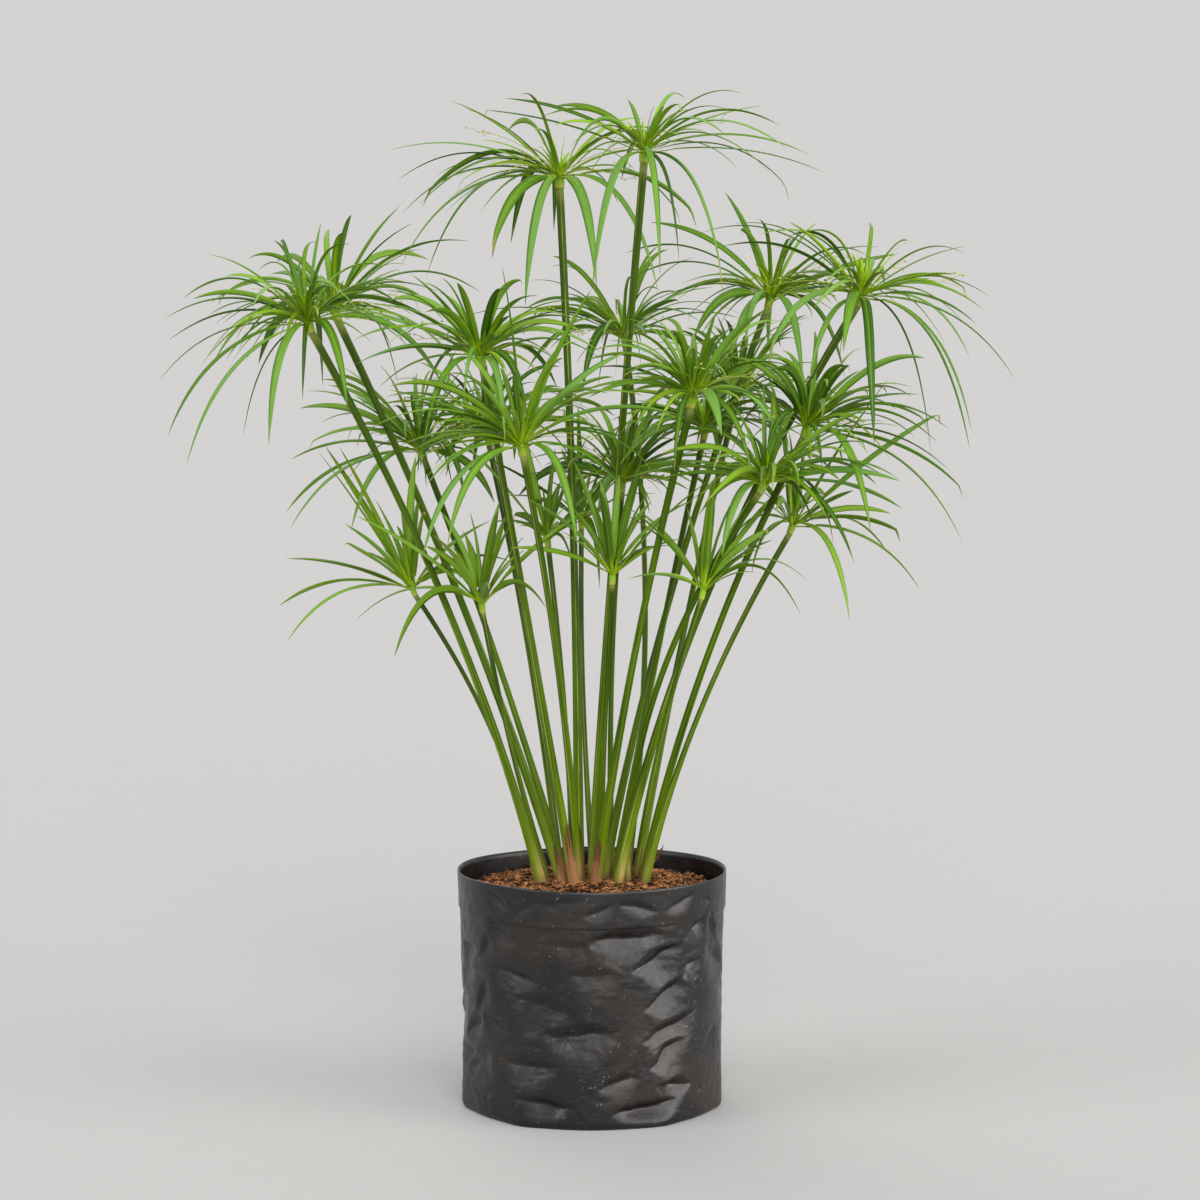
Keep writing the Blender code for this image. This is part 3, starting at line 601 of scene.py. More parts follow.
def welded(node):
    """The node's points with their neighbours, each place once."""
    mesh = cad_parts[node].data
    places, number, lookup = [], {}, []
    for vertex in mesh.vertices:
        key = tuple(round(value / MERGE_DISTANCE) for value in vertex.co)
        if key not in number:
            number[key] = len(places)
            places.append(vertex.co.copy())
        lookup.append(number[key])
    near = [set() for _ in places]
    for edge in mesh.edges:
        one, other = (lookup[index] for index in edge.vertices)
        if one != other:
            near[one].add(other)
            near[other].add(one)
    return places, near


def culm_line(number):
    """The culm's curve as foot, bend and head, with its thickness at each of its rings."""
    places, _ = welded(f"culm_{number:02d}")
    if len(places) != CULM_RINGS * CULM_SIDES:
        raise RuntimeError(f"culm {number} has {len(places)} points")
    places.sort(key=lambda place: place.z)
    centres, radii = [], []
    for row in range(CULM_RINGS):
        ring = places[row * CULM_SIDES:(row + 1) * CULM_SIDES]
        centre = sum(ring, Vector()) / CULM_SIDES
        centres.append(centre)
        radii.append(max((place - centre).length for place in ring))
    foot, middle, head = centres[0], centres[CULM_RINGS // 2], centres[-1]
    return (foot, 2 * middle - (foot + head) / 2, head), radii


def whorl_blades(number):
    """Each blade of a whorl's solid as its curve, its width and the side it turns."""
    places, near = welded(f"whorl_{number:02d}")
    young = number in YOUNG_WHORLS
    t = YOUNG_MIDDLE if young else LONG_MIDDLE
    blades, used = [], set()
    for tip, around in enumerate(near):
        if len(around) != 3:
            continue
        rings = [set(around)]
        before = {tip}
        for _ in range(YOUNG_RINGS if young else LONG_RINGS):
            grown = set().union(*(near[index] for index in rings[-1])) - rings[-1] - before
            before = rings[-1]
            rings.append(grown)
        used.update({tip}, *rings[:-1])
        root = sum((places[index] for index in rings[-1]), Vector()) / 3
        first, middle = rings[-2], rings[0] if young else rings[-3]
        start_side, _, width = span_of([places[index] for index in first])
        side, centre, _ = span_of([places[index] for index in middle])
        end = places[tip]
        bend = (centre - (1 - t) ** 2 * root - t ** 2 * end) / (2 * t * (1 - t))
        if start_side.dot(side) < 0:
            start_side = -start_side
        blades.append(((root, bend, end), width, start_side))
    hub = [place for index, place in enumerate(places) if index not in used]
    return blades, sum(hub, Vector()) / len(hub)


def span_of(ring):
    """Direction, middle and length of the longest side of a blade's ring."""
    pairs = [(ring[0], ring[1]), (ring[1], ring[2]), (ring[2], ring[0])]
    one, other = max(pairs, key=lambda pair: (pair[1] - pair[0]).length)
    return (other - one).normalized(), (one + other) / 2, (other - one).length


# Grow bag


class Buckle:
    """A dent of the film: a sharp valley line, steep above it and a long slope below."""

    def __init__(self, angle, height, length, reach, depth, slant):
        self.angle = angle
        self.height = height
        self.length = length
        self.reach = reach
        self.depth = depth
        self.along = (math.cos(slant), math.sin(slant))

    def sink(self, angle, height):
        """How far the film is pushed in at a place of the wall."""
        x = angle_between(self.angle, angle) * BAG_RIM_RADIUS
        if abs(x) > BUCKLE_REACH:
            return 0.0
        z = height - self.height
        share = (x * self.along[0] + z * self.along[1]) / self.length
        if abs(share) >= 1:
            return 0.0
        across = -x * self.along[1] + z * self.along[0]
        part, slope = (LOWER_SHARE, LOWER_SLOPE) if across < 0 else (UPPER_SHARE, UPPER_SLOPE)
        taper = 1 - share * share
        width = self.reach * taper * part
        if abs(across) >= width:
            return 0.0
        return self.depth * taper ** BUCKLE_TAPER * (1 - abs(across) / width) ** slope


def bag_buckles(strength):
    """The listed front buckles, and seeded ones round the rest of the bag."""
    buckles = []
    for across, height, length, reach, depth, slant in FRONT_BUCKLES:
        angle = math.asin(across * MM / BAG_RIM_RADIUS) - math.pi / 2
        sizes = (length * MM, reach * MM, depth * MM * strength)
        buckles.append(Buckle(angle, height * MM, *sizes, math.radians(slant)))
    rng = random.Random(7)
    for _ in range(OTHER_BUCKLES):
        angle = -math.pi / 2 + rng.uniform(FRONT_HALF, 2 * math.pi - FRONT_HALF)
        length = rng.uniform(*OTHER_LENGTH) * MM
        sizes = (length, length * rng.uniform(*OTHER_REACH), length * rng.uniform(*OTHER_DEPTH) * strength)
        height = rng.uniform(*OTHER_HEIGHT)
        buckles.append(Buckle(angle, height, *sizes, math.radians(rng.gauss(0, OTHER_SLANT))))
    return buckles


def film_creases(angle, height, size):
    """Small sharp creases of the film, in two sizes."""
    spot = level(angle, CREASE_STRETCH * height / BAG_RIM_RADIUS)
    bend = noise.noise_vector(spot * 2.1) * 0.35
    large = abs(noise.noise((spot + bend) * LARGE_CREASES))
    small = abs(noise.noise((spot - bend) * SMALL_CREASES + CREASE_SHIFT))
    return -size * (1.5 * (0.35 - large) + 0.6 * (0.3 - small))


def near_hole(angle, height):
    """One at the middle of the small drain hole, nothing outside it."""
    across = angle_between(HOLE_ANGLE, angle) * BAG_RIM_RADIUS
    return max(0.0, 1 - math.hypot(across, height - HOLE_HEIGHT) / HOLE_RADIUS)


def film_slack(height):
    """How freely the film buckles: least at the rim, little on the cuff and at the foot."""
    slack = 1 - CUFF_STIFFNESS * smooth(height, CUFF_EDGE - 0.006, CUFF_EDGE + 0.004)
    slack *= 1 - RIM_STIFFNESS * smooth(height, BAG_HEIGHT - 0.010, BAG_HEIGHT)
    return slack * (1 - FOOT_STIFFNESS * (1 - smooth(height, 0.0, 0.012)))


def bag_radius(angle, height, buckles, crease):
    """Outer radius of the dressed bag."""
    share = min(max(height / BAG_HEIGHT, 0.0), 1.0)
    belly = math.sin(math.pi * share)
    radius = BAG_BASE_RADIUS + (BAG_RIM_RADIUS - BAG_BASE_RADIUS) * share - BAG_WAIST * belly
    pinch = sum(math.exp(-(angle_between(corner, angle) / CORNER_WIDTH) ** 2) for corner in CORNER_ANGLES)
    radius += CORNER_BULGE * (pinch - CORNER_REST) * (1 - share) ** 4
    spot = level(angle, height / BAG_RIM_RADIUS)
    bend = BUCKLE_BEND * (noise.noise_vector(spot * 3.4) + noise.noise_vector(spot * 9.5) * 0.4)
    turned, raised = angle + bend.x / BAG_RIM_RADIUS, height + bend.z
    folds = film_creases(angle, height, crease) - sum(buckle.sink(turned, raised) for buckle in buckles)
    radius += film_slack(height) * folds - HOLE_DEPTH * near_hole(angle, height)
    wave = math.sin(3 * angle + 0.7) + 0.6 * math.sin(7 * angle - 1.2)
    return radius + BAG_WAVE * wave * belly


def wall_place(angle, height, step, buckles, crease):
    """Place on the dressed wall, whose rim sways a little up and down."""
    sway = 0.0004 * math.sin(2 * angle + 1) + 0.0003 * math.sin(5 * angle) - RIM_DIP
    raised = height + sway * smooth(height, BAG_HEIGHT - RIM_SWAY_DEPTH, BAG_HEIGHT)
    return level(angle) * (bag_radius(angle, height, buckles, crease) + step) + UP * raised


def even_levels(start, end, rows, step):
    """Evenly spaced rings of one part of the wall."""
    return [(start + (end - start) * row / rows, step) for row in range(rows + 1)]


def bag_levels():
    """Heights of the film's rings, outside and a little way in, with the step out of each."""
    rim = [
        (BAG_HEIGHT - RIM_ROLL * (1 - math.sin(turn)), CUFF_PROUD - RIM_ROLL * (1 - math.cos(turn)))
        for turn in (math.pi * step / RIM_STEPS for step in range(1, RIM_STEPS))
    ]
    return [
        *FOOT_LEVELS,
        *even_levels(WALL_START, WALL_END, WALL_ROWS, 0.0),
        *CUFF_LEVELS,
        *even_levels(CUFF_START, CUFF_END, CUFF_ROWS, CUFF_PROUD),
        *rim,
        *((height, -BAG_WALL) for height in LINING_HEIGHTS),
    ]


def make_bag(settings, material):
    """The film bag: foot, wrinkled wall, cuff, rolled rim, inside and floor."""
    noise.seed_set(FILM_SEED)
    buckles = bag_buckles(settings.buckle)
    crease = settings.crease
    skin = Skin("hole")
    rings = []
    for height, step in bag_levels():
        rings.append([
            skin.point(wall_place(angle, height, step, buckles, crease), hole=near_hole(angle, height))
            for angle in turns(BAG_SEGMENTS)
        ])
    rings.extend(skin.hoop(UP * height, INNER_RADIUS, LEVEL, BAG_SEGMENTS) for height in INNER_HEIGHTS)
    skin.loft(rings)
    skin.fan(rings[0], skin.point(Vector()), outward=False)
    skin.fan(rings[-1], skin.point(UP * BAG_FLOOR))
    return skin.piece("film_grow_bag", material, "bag_film", "grow_bag")


def film_finish(settings):
    """Black film with a grey sheen, dust, scratches, fine creases and a drain hole painted dark as shade.
    """
    film = Finish("black film", 0.36, 0.48)
    place = film.place()
    dusty = film.span(film.noise(place, 14, 5, 0.6), 0.45, 0.68)
    colour = film.mix(dusty, settings.film, settings.film_brown)
    chosen = film.span(film.noise(place, 95, 1), 0.60, 0.66)
    specks = film.times(film.span(film.cells(place, 330), 0.16, 0.05), chosen)
    colour = film.mix(specks, colour, settings.dust)
    lines = film.math("ABSOLUTE", film.math("SUBTRACT", film.noise(place, 70, 2, 0.5, 2.0), 0.5))
    scratches = film.times(film.span(lines, 0.006, 0.0), film.span(film.noise(place, 120, 2), 0.56, 0.62))
    colour = film.mix(film.times(scratches, 0.30), colour, settings.dust)
    # Painted shade: the middle of the drain hole is painted near black, as the film here only dips
    colour = film.mix(film.span(film.mark("hole"), 0.25, 0.5), colour, HOLE_PAINTED_SHADE)
    dull = film.plus(film.times(film.noise(place, 210), 0.4), film.noise(place, 26, 4))
    return film.done(colour, film_relief(film, place), film.span(dull, 0.4, 1.0, 0.30, 0.44))


def film_relief(film, place):
    """Fine folds of the film with wrinkles over them."""
    creases = film.cells(film.stretch(place, (1, 1, 1.5)), 58, "DISTANCE_TO_EDGE")
    folds = film.bump(film.span(creases, 0.0, 0.10), 0.00010, 0.35)
    wrinkles = film.noise(film.stretch(place, (60, 60, 260)), 1.0, 3, 0.6, 0.6)
    height = film.plus(film.noise(place, 90), film.times(wrinkles, 0.35))
    return film.bump(height, 0.0005, 0.32, folds)


# Coco peat


def peat_height(x, y, lump):
    """Height of the peat's surface."""
    slope = smooth(math.hypot(x, y), PEAT_FLAT_RADIUS, PEAT_SLOPE_RADIUS)
    spot = Vector((x, y, 0))
    lumps = sum(share * noise.noise(spot * scale + Vector(shift)) for scale, share, shift in PEAT_LUMPS)
    return PEAT_TOP - (PEAT_TOP - PEAT_EDGE) * slope + lump * lumps


def make_peat(settings, material, feet):
    """The block of peat with a lumpy top, loose crumbs and fibres."""
    lump = settings.lump
    skin = Skin("tone")
    rings = []
    for row in range(1, PEAT_ROWS + 1):
        radius = (PEAT_RADIUS + PEAT_OVERHANG) * row / PEAT_ROWS
        ring = []
        for angle in turns(PEAT_SEGMENTS):
            x, y = radius * math.cos(angle), radius * math.sin(angle)
            ring.append(skin.point(Vector((x, y, peat_height(x, y, lump))), tone=0.05))
        rings.append(ring)
    skin.fan(rings[0], skin.point(UP * peat_height(0, 0, lump), tone=0.35))
    sides = [
        skin.hoop(UP * height, radius, LEVEL, PEAT_SEGMENTS, tone=0.2) for height, radius in PEAT_SIDES
    ]
    skin.loft([*sides, *reversed(rings)])
    skin.fan(sides[0], skin.point(UP * PEAT_FLOOR), outward=False)
    rng = random.Random(11)
    for _ in range(settings.crumbs):
        add_crumb(skin, rng, lump, feet)
    for _ in range(settings.fibres):
        add_fibre(skin, rng, lump)
    for x, y in YELLOW_BITS:
        add_crumb(skin, rng, lump, feet, (x * MM, y * MM))
    return skin.piece("crumbly_peat", material, "peat", "coco_peat")


def spot_on_peat(rng, limit):
    """A place on the peat inside the limit."""
    radius = limit * math.sqrt(rng.random())
    angle = rng.uniform(0, 2 * math.pi)
    return radius * math.cos(angle), radius * math.sin(angle)


def add_crumb(skin, rng, lump, feet, spot=None):
    """A small rough lump that lies on the peat, or a yellow bit of leaf at a chosen spot."""
    x, y = spot or spot_on_peat(rng, LITTER_RADIUS)
    size = rng.uniform(*CRUMB_SIZE) * MM * (1.0 if rng.random() < SMALL_SHARE else LARGE_CRUMB)
    if min((Vector((x, y, 0)) - foot).length for foot in feet) < FOOT_CLEARANCE:
        return
    centre = Vector((x, y, peat_height(x, y, lump) + size * CRUMB_LIFT))
    turn = Matrix.Rotation(rng.uniform(0, 6.28), 3, "Z") @ Matrix.Rotation(rng.uniform(-0.5, 0.5), 3, "X")
    form = Vector([rng.uniform(*pair) for pair in CRUMB_FORM]) * size
    tone = YELLOW_TONE if spot else rng.random()

    def corner(place):
        return skin.point(centre + turn @ (place * form), tone=tone)

    rings = []
    for height, wide, turned in CRUMB_RINGS:
        ring = []
        for angle in turns(CRUMB_SIDES, turned):
            reach = wide * rng.uniform(0.75, 1.2)
            ring.append(corner(Vector((reach * math.cos(angle), reach * math.sin(angle), height))))
        rings.append(ring)
    skin.loft(rings)
    skin.fan(rings[0], corner(-UP), outward=False)
    skin.fan(rings[1], corner(UP))


def add_fibre(skin, rng, lump):
    """A short bent fibre of the husk that lies on the peat."""
    x, y = spot_on_peat(rng, FIBRE_START_RADIUS)
    angle = rng.uniform(0, 2 * math.pi)
    length = rng.uniform(*FIBRE_LENGTH) * MM
    thick = rng.uniform(*FIBRE_THICKNESS) * MM
    bend = rng.uniform(-1.2, 1.2)
    lift = rng.uniform(0.0, 0.35)
    tone = rng.uniform(0.35, 1.25)
    rings = []
    for step in range(FIBRE_STEPS):
        share = step / (FIBRE_STEPS - 1)
        way = level(angle + bend * share)
        place = Vector((x, y, 0)) + way * length * share
        if place.length > LITTER_RADIUS:
            place *= LITTER_RADIUS / place.length
        raised = lift * length * share * (1 - 0.4 * share)
        place.z = peat_height(place.x, place.y, lump) + thick * 1.1 + raised
        half = thick * (1 - 0.6 * share ** 3)
        side = Vector((-way.y, way.x, 0)) * half
        rings.append([skin.point(place + part, tone=tone) for part in (side, UP * half, -side, -UP * half)])
    skin.loft(rings)
    skin.cap(rings)


def peat_finish(settings):
    """Moist brown crumbs, pale fibres and yellow bits of leaf."""
    peat = Finish("coco peat", 0.95, 0.08)
    place = peat.place()
    tone = peat.mark("tone")
    share = peat.plus(peat.times(peat.noise(place, 420, 4, 0.65), 0.55), peat.times(tone, 0.62))
    share = peat.plus(share, peat.times(peat.noise(place, 60), 0.35))
    colour = peat.mix(peat.span(share, 0.42, 1.20), settings.dark, settings.light)
    colour = peat.mix(peat.span(tone, 1.5, 2.5), colour, YELLOW_LEAF)
    return peat.done(colour, peat.bump(peat.noise(place, 900, 4, 0.7), 0.0007, 0.9))


# Culms


def culm_radius(radii, t, total):
    """The solid's radius at t, a little slimmer in the middle and wider at the foot."""
    place = t * (len(radii) - 1)
    low = min(int(place), len(radii) - 2)
    radius = radii[low] + (radii[low + 1] - radii[low]) * (place - low)
    radius *= CULM_FIT - CULM_SLIMMER * math.sin(math.pi * t)
    return radius * (1 + FOOT_SWELL * math.exp(-t * total / FOOT_SWELL_HEIGHT))


def make_culm(number, material, rng):
    """A smooth stem, three-cornered near its head and round at its foot, sunk in the peat."""
    line, radii = culm_line(number)
    foot, _, head = line
    buried = foot - UP * PEAT_SINK
    skin = Skin("along", "around", "tone", "high")
    tone = rng.random()
    spin = rng.uniform(0, 2 * math.pi)
    total = (head - foot).length
    rings = []
    for row in range(-1, CULM_ROWS + 1):
        t = max(0.0, row / CULM_ROWS)
        centre = buried if row < 0 else bezier(line, t)
        side, front = square_to(heading(line, t))
        radius = culm_radius(radii, t, total)
        edge = 0.07 + 0.05 * t
        ring = []
        for angle in turns(CULM_SEGMENTS):
            form = 1 - edge + edge * math.cos(3 * (angle + spin)) + 0.012 * math.cos(9 * angle)
            spoke = math.cos(angle) * side + math.sin(angle) * front
            around = abs(angle_between(0, angle + spin)) / math.pi
            ring.append(skin.point(
                centre + radius * form * spoke, along=t, tone=tone, high=t * total, around=around))
        rings.append(ring)
    skin.loft(rings)
    skin.fan(rings[0], skin.point(buried, tone=tone), outward=False)
    skin.fan(rings[-1], skin.point(head, along=1.0, tone=tone, high=total))
    return skin.piece(f"stem_{number:02d}", material, "culm", f"culm_{number:02d}")


def culm_finish(settings):
    """Green stem with lengthwise streaks, pale edges and a pale, stained foot."""
    culm = Finish("culm green", 0.36, 0.10)
    along, around, high = culm.mark("along"), culm.mark("around"), culm.mark("high")
    seed = culm.times(culm.mark("tone"), 40)
    streaks = culm.combed(culm.times(around, 16), culm.times(high, 5), seed, 4, 0.6)
    patches = culm.combed(culm.times(around, 3), culm.times(high, 16), seed, 3)
    share = culm.plus(culm.times(streaks, 0.7), culm.times(patches, 0.3))
    colour = culm.mix(culm.span(share, 0.34, 0.66), settings.deep, settings.fresh)
    colour = culm.mix(culm.span(along, 0.50, 0.85, 0.0, 0.42), colour, settings.deep)
    reach = culm.plus(high, culm.times(streaks, 0.05))
    colour = culm.mix(culm.span(reach, 0.150, 0.035, 0.0, 0.7), colour, settings.low)
    ridge = culm.math("ABSOLUTE", culm.math("SUBTRACT", culm.math("FRACT", culm.times(around, 1.5)), 0.5))
    lines = culm.times(culm.span(ridge, 0.43, 0.49), culm.span(patches, 0.34, 0.62))
    colour = culm.mix(culm.times(lines, 0.8), colour, settings.edge)
    sided = culm.combed(culm.times(around, 2), culm.times(high, 4), seed, 2)
    tan = culm.times(culm.span(reach, 0.065, 0.020), culm.span(sided, 0.42, 0.62, 0.15, 1.0))
    colour = culm.mix(tan, colour, settings.foot)
    colour = culm.mix(culm.times(culm.span(high, 0.010, 0.0), 0.6), colour, FOOT_STAIN)
    colour = culm.mix(culm.times(culm.span(along, 0.965, 1.0), 0.5), colour, settings.edge)
    ribs = culm.math("SINE", culm.times(around, 95))
    height = culm.plus(culm.times(ribs, 0.25), streaks)
    return culm.done(colour, culm.bump(height, 0.0003, 0.45), culm.span(streaks, 0.3, 0.7, 0.30, 0.46))


# Blades


def blade_width(t):
    """Share of the full width at t along the blade, which widens, holds and then tapers."""
    if t < WIDE_FROM:
        return 0.30 + 0.70 * smooth(t, -0.04, WIDE_FROM)
    if t < WIDE_TO:
        return 1.0 - 0.06 * smooth(t, WIDE_FROM, WIDE_TO)
    return 0.94 * max(0.0, 1 - ((t - WIDE_TO) / (1 - WIDE_TO)) ** 1.75) ** 0.86


def blade_outline(t):
    """Cross-section at t: place across and height in half widths, and drop of the underside."""
    channel = 0.34 * (1 - 0.6 * t)
    edge = -0.06 - 0.14 * smooth(t, 0.3, 0.9)
    return (
        (-1.0, edge, 0.0), (-0.5, 0.02, 0.0), (0.0, -channel, 0.0), (0.5, 0.02, 0.0), (1.0, edge, 0.0),
        (0.5, -0.14, KEEL_DROP), (0.0, -channel - 0.30, KEEL_DROP), (-0.5, -0.14, KEEL_DROP),
    )


class Strip:
    """One narrow leaf to be drawn along a curve."""

    def __init__(self, line, width, side, rng, young=0.0, steps=BLADE_STEPS):
        self.line = line
        self.width = width
        self.side = side
        self.young = young
        self.steps = steps
        self.reach = (line[2] - line[0]).length
        self.tone = rng.random()
        self.twist = rng.gauss(0, 0.5)
        self.roll = rng.gauss(0, 0.45)
        self.wave = rng.uniform(-1, 1) * BLADE_WAVE * self.reach
        self.phase = rng.uniform(0, 6.28)
        self.dry_tip = rng.random()
        self.kink = rng.uniform(*KINK_PLACE) if rng.random() < BENT_SHARE else UNBENT

    def centre(self, t):
        """Middle line with a slight sway, and a bent tip on some blades."""
        place = bezier(self.line, t)
        place += self.side * self.wave * math.sin(5.0 * t + self.phase) * t
        if t > self.kink:
            over = (t - self.kink) * self.reach
            place -= UP * (0.7 * over) + heading(self.line, t) * over * 0.75
        return place

    def dryness(self, t):
        """How dry the leaf is at t."""
        tip = smooth(t, 0.97 - 0.07 * self.dry_tip, 1.0) * (0.2 + 0.6 * self.dry_tip)
        bent = smooth(t, self.kink - 0.03, self.kink + 0.04)
        return min(1.0, max(0.0, tip, 0.45 * bent))

    def marks(self, t):
        """Point marks of the leaf at t."""
        own = {"tone": self.tone, "young": self.young, "size": self.reach}
        return {"along": t, "dry": self.dryness(t), **own}

    def ring(self, skin, t, flat):
        """Points of the leaf's outline at t, turned from its own side to the level one."""
        centre = self.centre(t)
        tangent = (self.centre(min(t + 0.02, 1.0)) - centre).normalized()
        side = self.side.lerp(flat, min(1.0, t * 2.5)).normalized()
        side = Matrix.Rotation(self.twist * t + self.roll * smooth(t, 0.0, 0.3), 3, tangent) @ side
        normal = tangent.cross(side).normalized()
        if normal.z < 0 and t < 0.1:
            normal, side = -normal, -side
        half = max(self.width * blade_width(t) / 2, THINNEST)
        marks = self.marks(t)
        return [
            skin.point(centre + side * half * x + normal * (half * z - drop), across=x, **marks)
            for x, z, drop in blade_outline(t)
        ]

    def draw(self, skin):
        """Add the leaf to the skin: a channelled top, ribs and a keel below."""
        flat = UP.cross(self.line[2] - self.line[0])
        flat = flat.normalized() if flat.length > 1e-6 else self.side
        if flat.dot(self.side) < 0:
            flat = -flat
        rings = [self.ring(skin, step / self.steps, flat) for step in range(self.steps)]
        skin.loft(rings)
        skin.faces.append(tuple(reversed(rings[0])))
        skin.fan(rings[-1], skin.point(self.centre(1.0), **self.marks(1.0)))


def add_wire(skin, line, radius, dry, rng):
    """A thin round ray along a curve."""
    marks = {"along": 0.5, "tone": rng.random(), "young": 0.6, "dry": dry, "size": WIRE_SIZE}
    rings = []
    for step in range(WIRE_STEPS):
        t = step / (WIRE_STEPS - 1)
        sides = square_to(heading(line, t), WIRE_AID)
        rings.append(skin.hoop(bezier(line, t), radius * (1 - 0.55 * t), sides, WIRE_SIDES, **marks))
    skin.loft(rings)
    skin.cap(rings)


def add_spikelet(skin, place, way, rng):
    """A small pointed seed head."""
    length = rng.uniform(*SPIKELET_LENGTH) * MM
    tone, dry = rng.random(), rng.uniform(0.2, 0.6)
    marks = {"along": 0.5, "tone": tone, "young": 0.5, "dry": dry, "size": WIRE_SIZE}
    sides = square_to(way, SPIKELET_AID)
    rings = [
        skin.hoop(place + way * length * share, length * width, sides, SPIKELET_SIDES, **marks)
        for share, width in SPIKELET_RINGS
    ]
    skin.loft(rings)
    skin.fan(rings[0], skin.point(place, **marks), outward=False)
    skin.fan(rings[1], skin.point(place + way * length, **marks))


# Umbrellas


def kept_in(place):
    """The nearest place inside the frame's box."""
    low, high = CAD_BOX
    return Vector([min(max(value, small), large) for value, small, large in zip(place, low, high)])


class Umbrella:
    """The blades, heart, rays and collar of one whorl."""

    def __init__(self, number, rng):
        self.rng = rng
        self.skin = Skin("along", "across", "tone", "young", "dry", "size")
        self.young = number in YOUNG_WHORLS
        self.blades, self.hub = whorl_blades(number)
        line, radii = culm_line(number)
        self.head = line[2]
        self.axis = heading(line, 1.0)
        self.radius = radii[-1]
        self.lean = self.axis.lerp(UP, 0.45).normalized()
        reaches = sorted((ends[2] - ends[0]).length for ends, _, _ in self.blades)
        self.reach = reaches[len(reaches) // 2]
        self.airy = smooth(self.hub.z, AIRY_FROM, AIRY_TO)
        self.dense = smooth(self.hub.z, DENSE_FROM, DENSE_TO)

    def add_broad_blades(self):
        """The blades of the whorl's solid, most of them slimmer."""
        for (start, bend, tip), width, side in self.blades:
            root = start.lerp(self.hub, ROOT_SHARE)
            width *= 1.0 if self.young else self.rng.uniform(*SLIMMED)
            young = YOUNG_TINT if self.young else 0.0
            Strip((root, bend, tip), width, side, self.rng, young).draw(self.skin)

    def sprout(self, away, bend, tip, width, young):
        """Draw a blade that leaves the hub one way; its bend and tip are places from the hub."""
        line = (self.hub + away * 0.001, self.hub + bend, kept_in(self.hub + tip))
        Strip(line, width * MM, Vector((-away.y, away.x, 0)), self.rng, young).draw(self.skin)

    def add_thin_blades(self, count):
        """Narrow blades between the broad ones."""
        rng = self.rng
        ways = [ends[2] - self.hub for ends, _, _ in self.blades]
        bearings = sorted(math.atan2(way.y, way.x) for way in ways)
        for _ in range(count // 3 if self.young else round(count * (1 - 0.40 * self.airy))):
            k = rng.randrange(len(bearings))
            gap = (bearings[(k + 1) % len(bearings)] - bearings[k]) % (2 * math.pi)
            away = level(bearings[k] + gap * rng.uniform(0.3, 0.7))
            lift = rng.uniform(*(YOUNG_LIFT if self.young else THIN_LIFT))
            length = self.reach * rng.uniform(*THIN_REACH)
            out = away * math.sqrt(1 - lift ** 2) * length * 0.9
            bend = out * 0.5 + UP * length * (rng.uniform(0.15, 0.35) + 0.45 * max(lift, 0))
            tip = out + UP * length * lift
            self.sprout(away, bend, tip, rng.uniform(*THIN_WIDTH), rng.uniform(0.1, 0.6))

    def inner_form(self):
        """Lift, length, width, arch and droop of one inner blade."""
        rng = self.rng
        if self.young:
            lift = rng.uniform(*YOUNG_INNER_LIFT)
            length = rng.uniform(*YOUNG_INNER_LENGTH) * MM
            return lift, length, rng.uniform(*YOUNG_INNER_WIDTH), YOUNG_ARCH, 0.0
        lift = 0.9 * rng.random() ** (1.3 - 0.5 * self.dense) - 0.05
        length = min(rng.uniform(*INNER_LENGTH) * MM, (1.2 + 0.15 * self.dense) * self.reach)
        width = rng.uniform(*INNER_WIDTH)
        arch = rng.uniform(*INNER_ARCH)
        droop = rng.uniform(*INNER_DROOP) * (1 - 0.6 * self.dense)
        return lift, length * (1 - 0.15 * lift), width, arch, droop

    def add_inner_blades(self, count):
        """Broad blades that rise from the middle of the whorl and bend over."""
        rng = self.rng
        start = rng.uniform(0, 2 * math.pi)
        mature = round(count * (1 - 0.45 * self.airy) + INNER_MORE * self.dense)
        for k in range(count // 3 if self.young else mature):
            away = level(start + GOLDEN_TURN * k + rng.gauss(0, 0.2))
            lift, length, width, arch, droop = self.inner_form()
            out = away * math.sqrt(1 - lift ** 2) * length * 0.95
            bend = out * 0.45 + self.lean * length * (arch + 0.46 * lift)
            tip = out + (self.lean * lift * 0.92 - UP * droop) * length
            self.sprout(away, bend, tip, width, rng.uniform(0.0, 0.28))

    def add_heart(self):
        """Short pale leaves that stand in the middle of the whorl."""
        rng, lean = self.rng, self.lean
        side, front = square_to(lean)
        for k in range(YOUNG_HEART_LEAVES if self.young else HEART_LEAVES):
            angle = GOLDEN_TURN * k + rng.uniform(-0.3, 0.3)
            out = rng.uniform(0.25, 1.0)
            away = math.cos(angle) * side + math.sin(angle) * front
            length = rng.uniform(*HEART_LENGTH) * MM * (1.2 - 0.5 * out)
            root = self.hub + away * self.radius * 0.5
            bend = root + (lean + away * out * 0.35).normalized() * length * 0.55
            tip = root + (lean * 0.8 + away * out).normalized() * length
            turned = lean.cross(away).normalized()
            width = rng.uniform(*HEART_WIDTH) * MM
            young = rng.uniform(0.8, 1.0)
            Strip((root, bend, tip), width, turned, rng, young, HEART_STEPS).draw(self.skin)

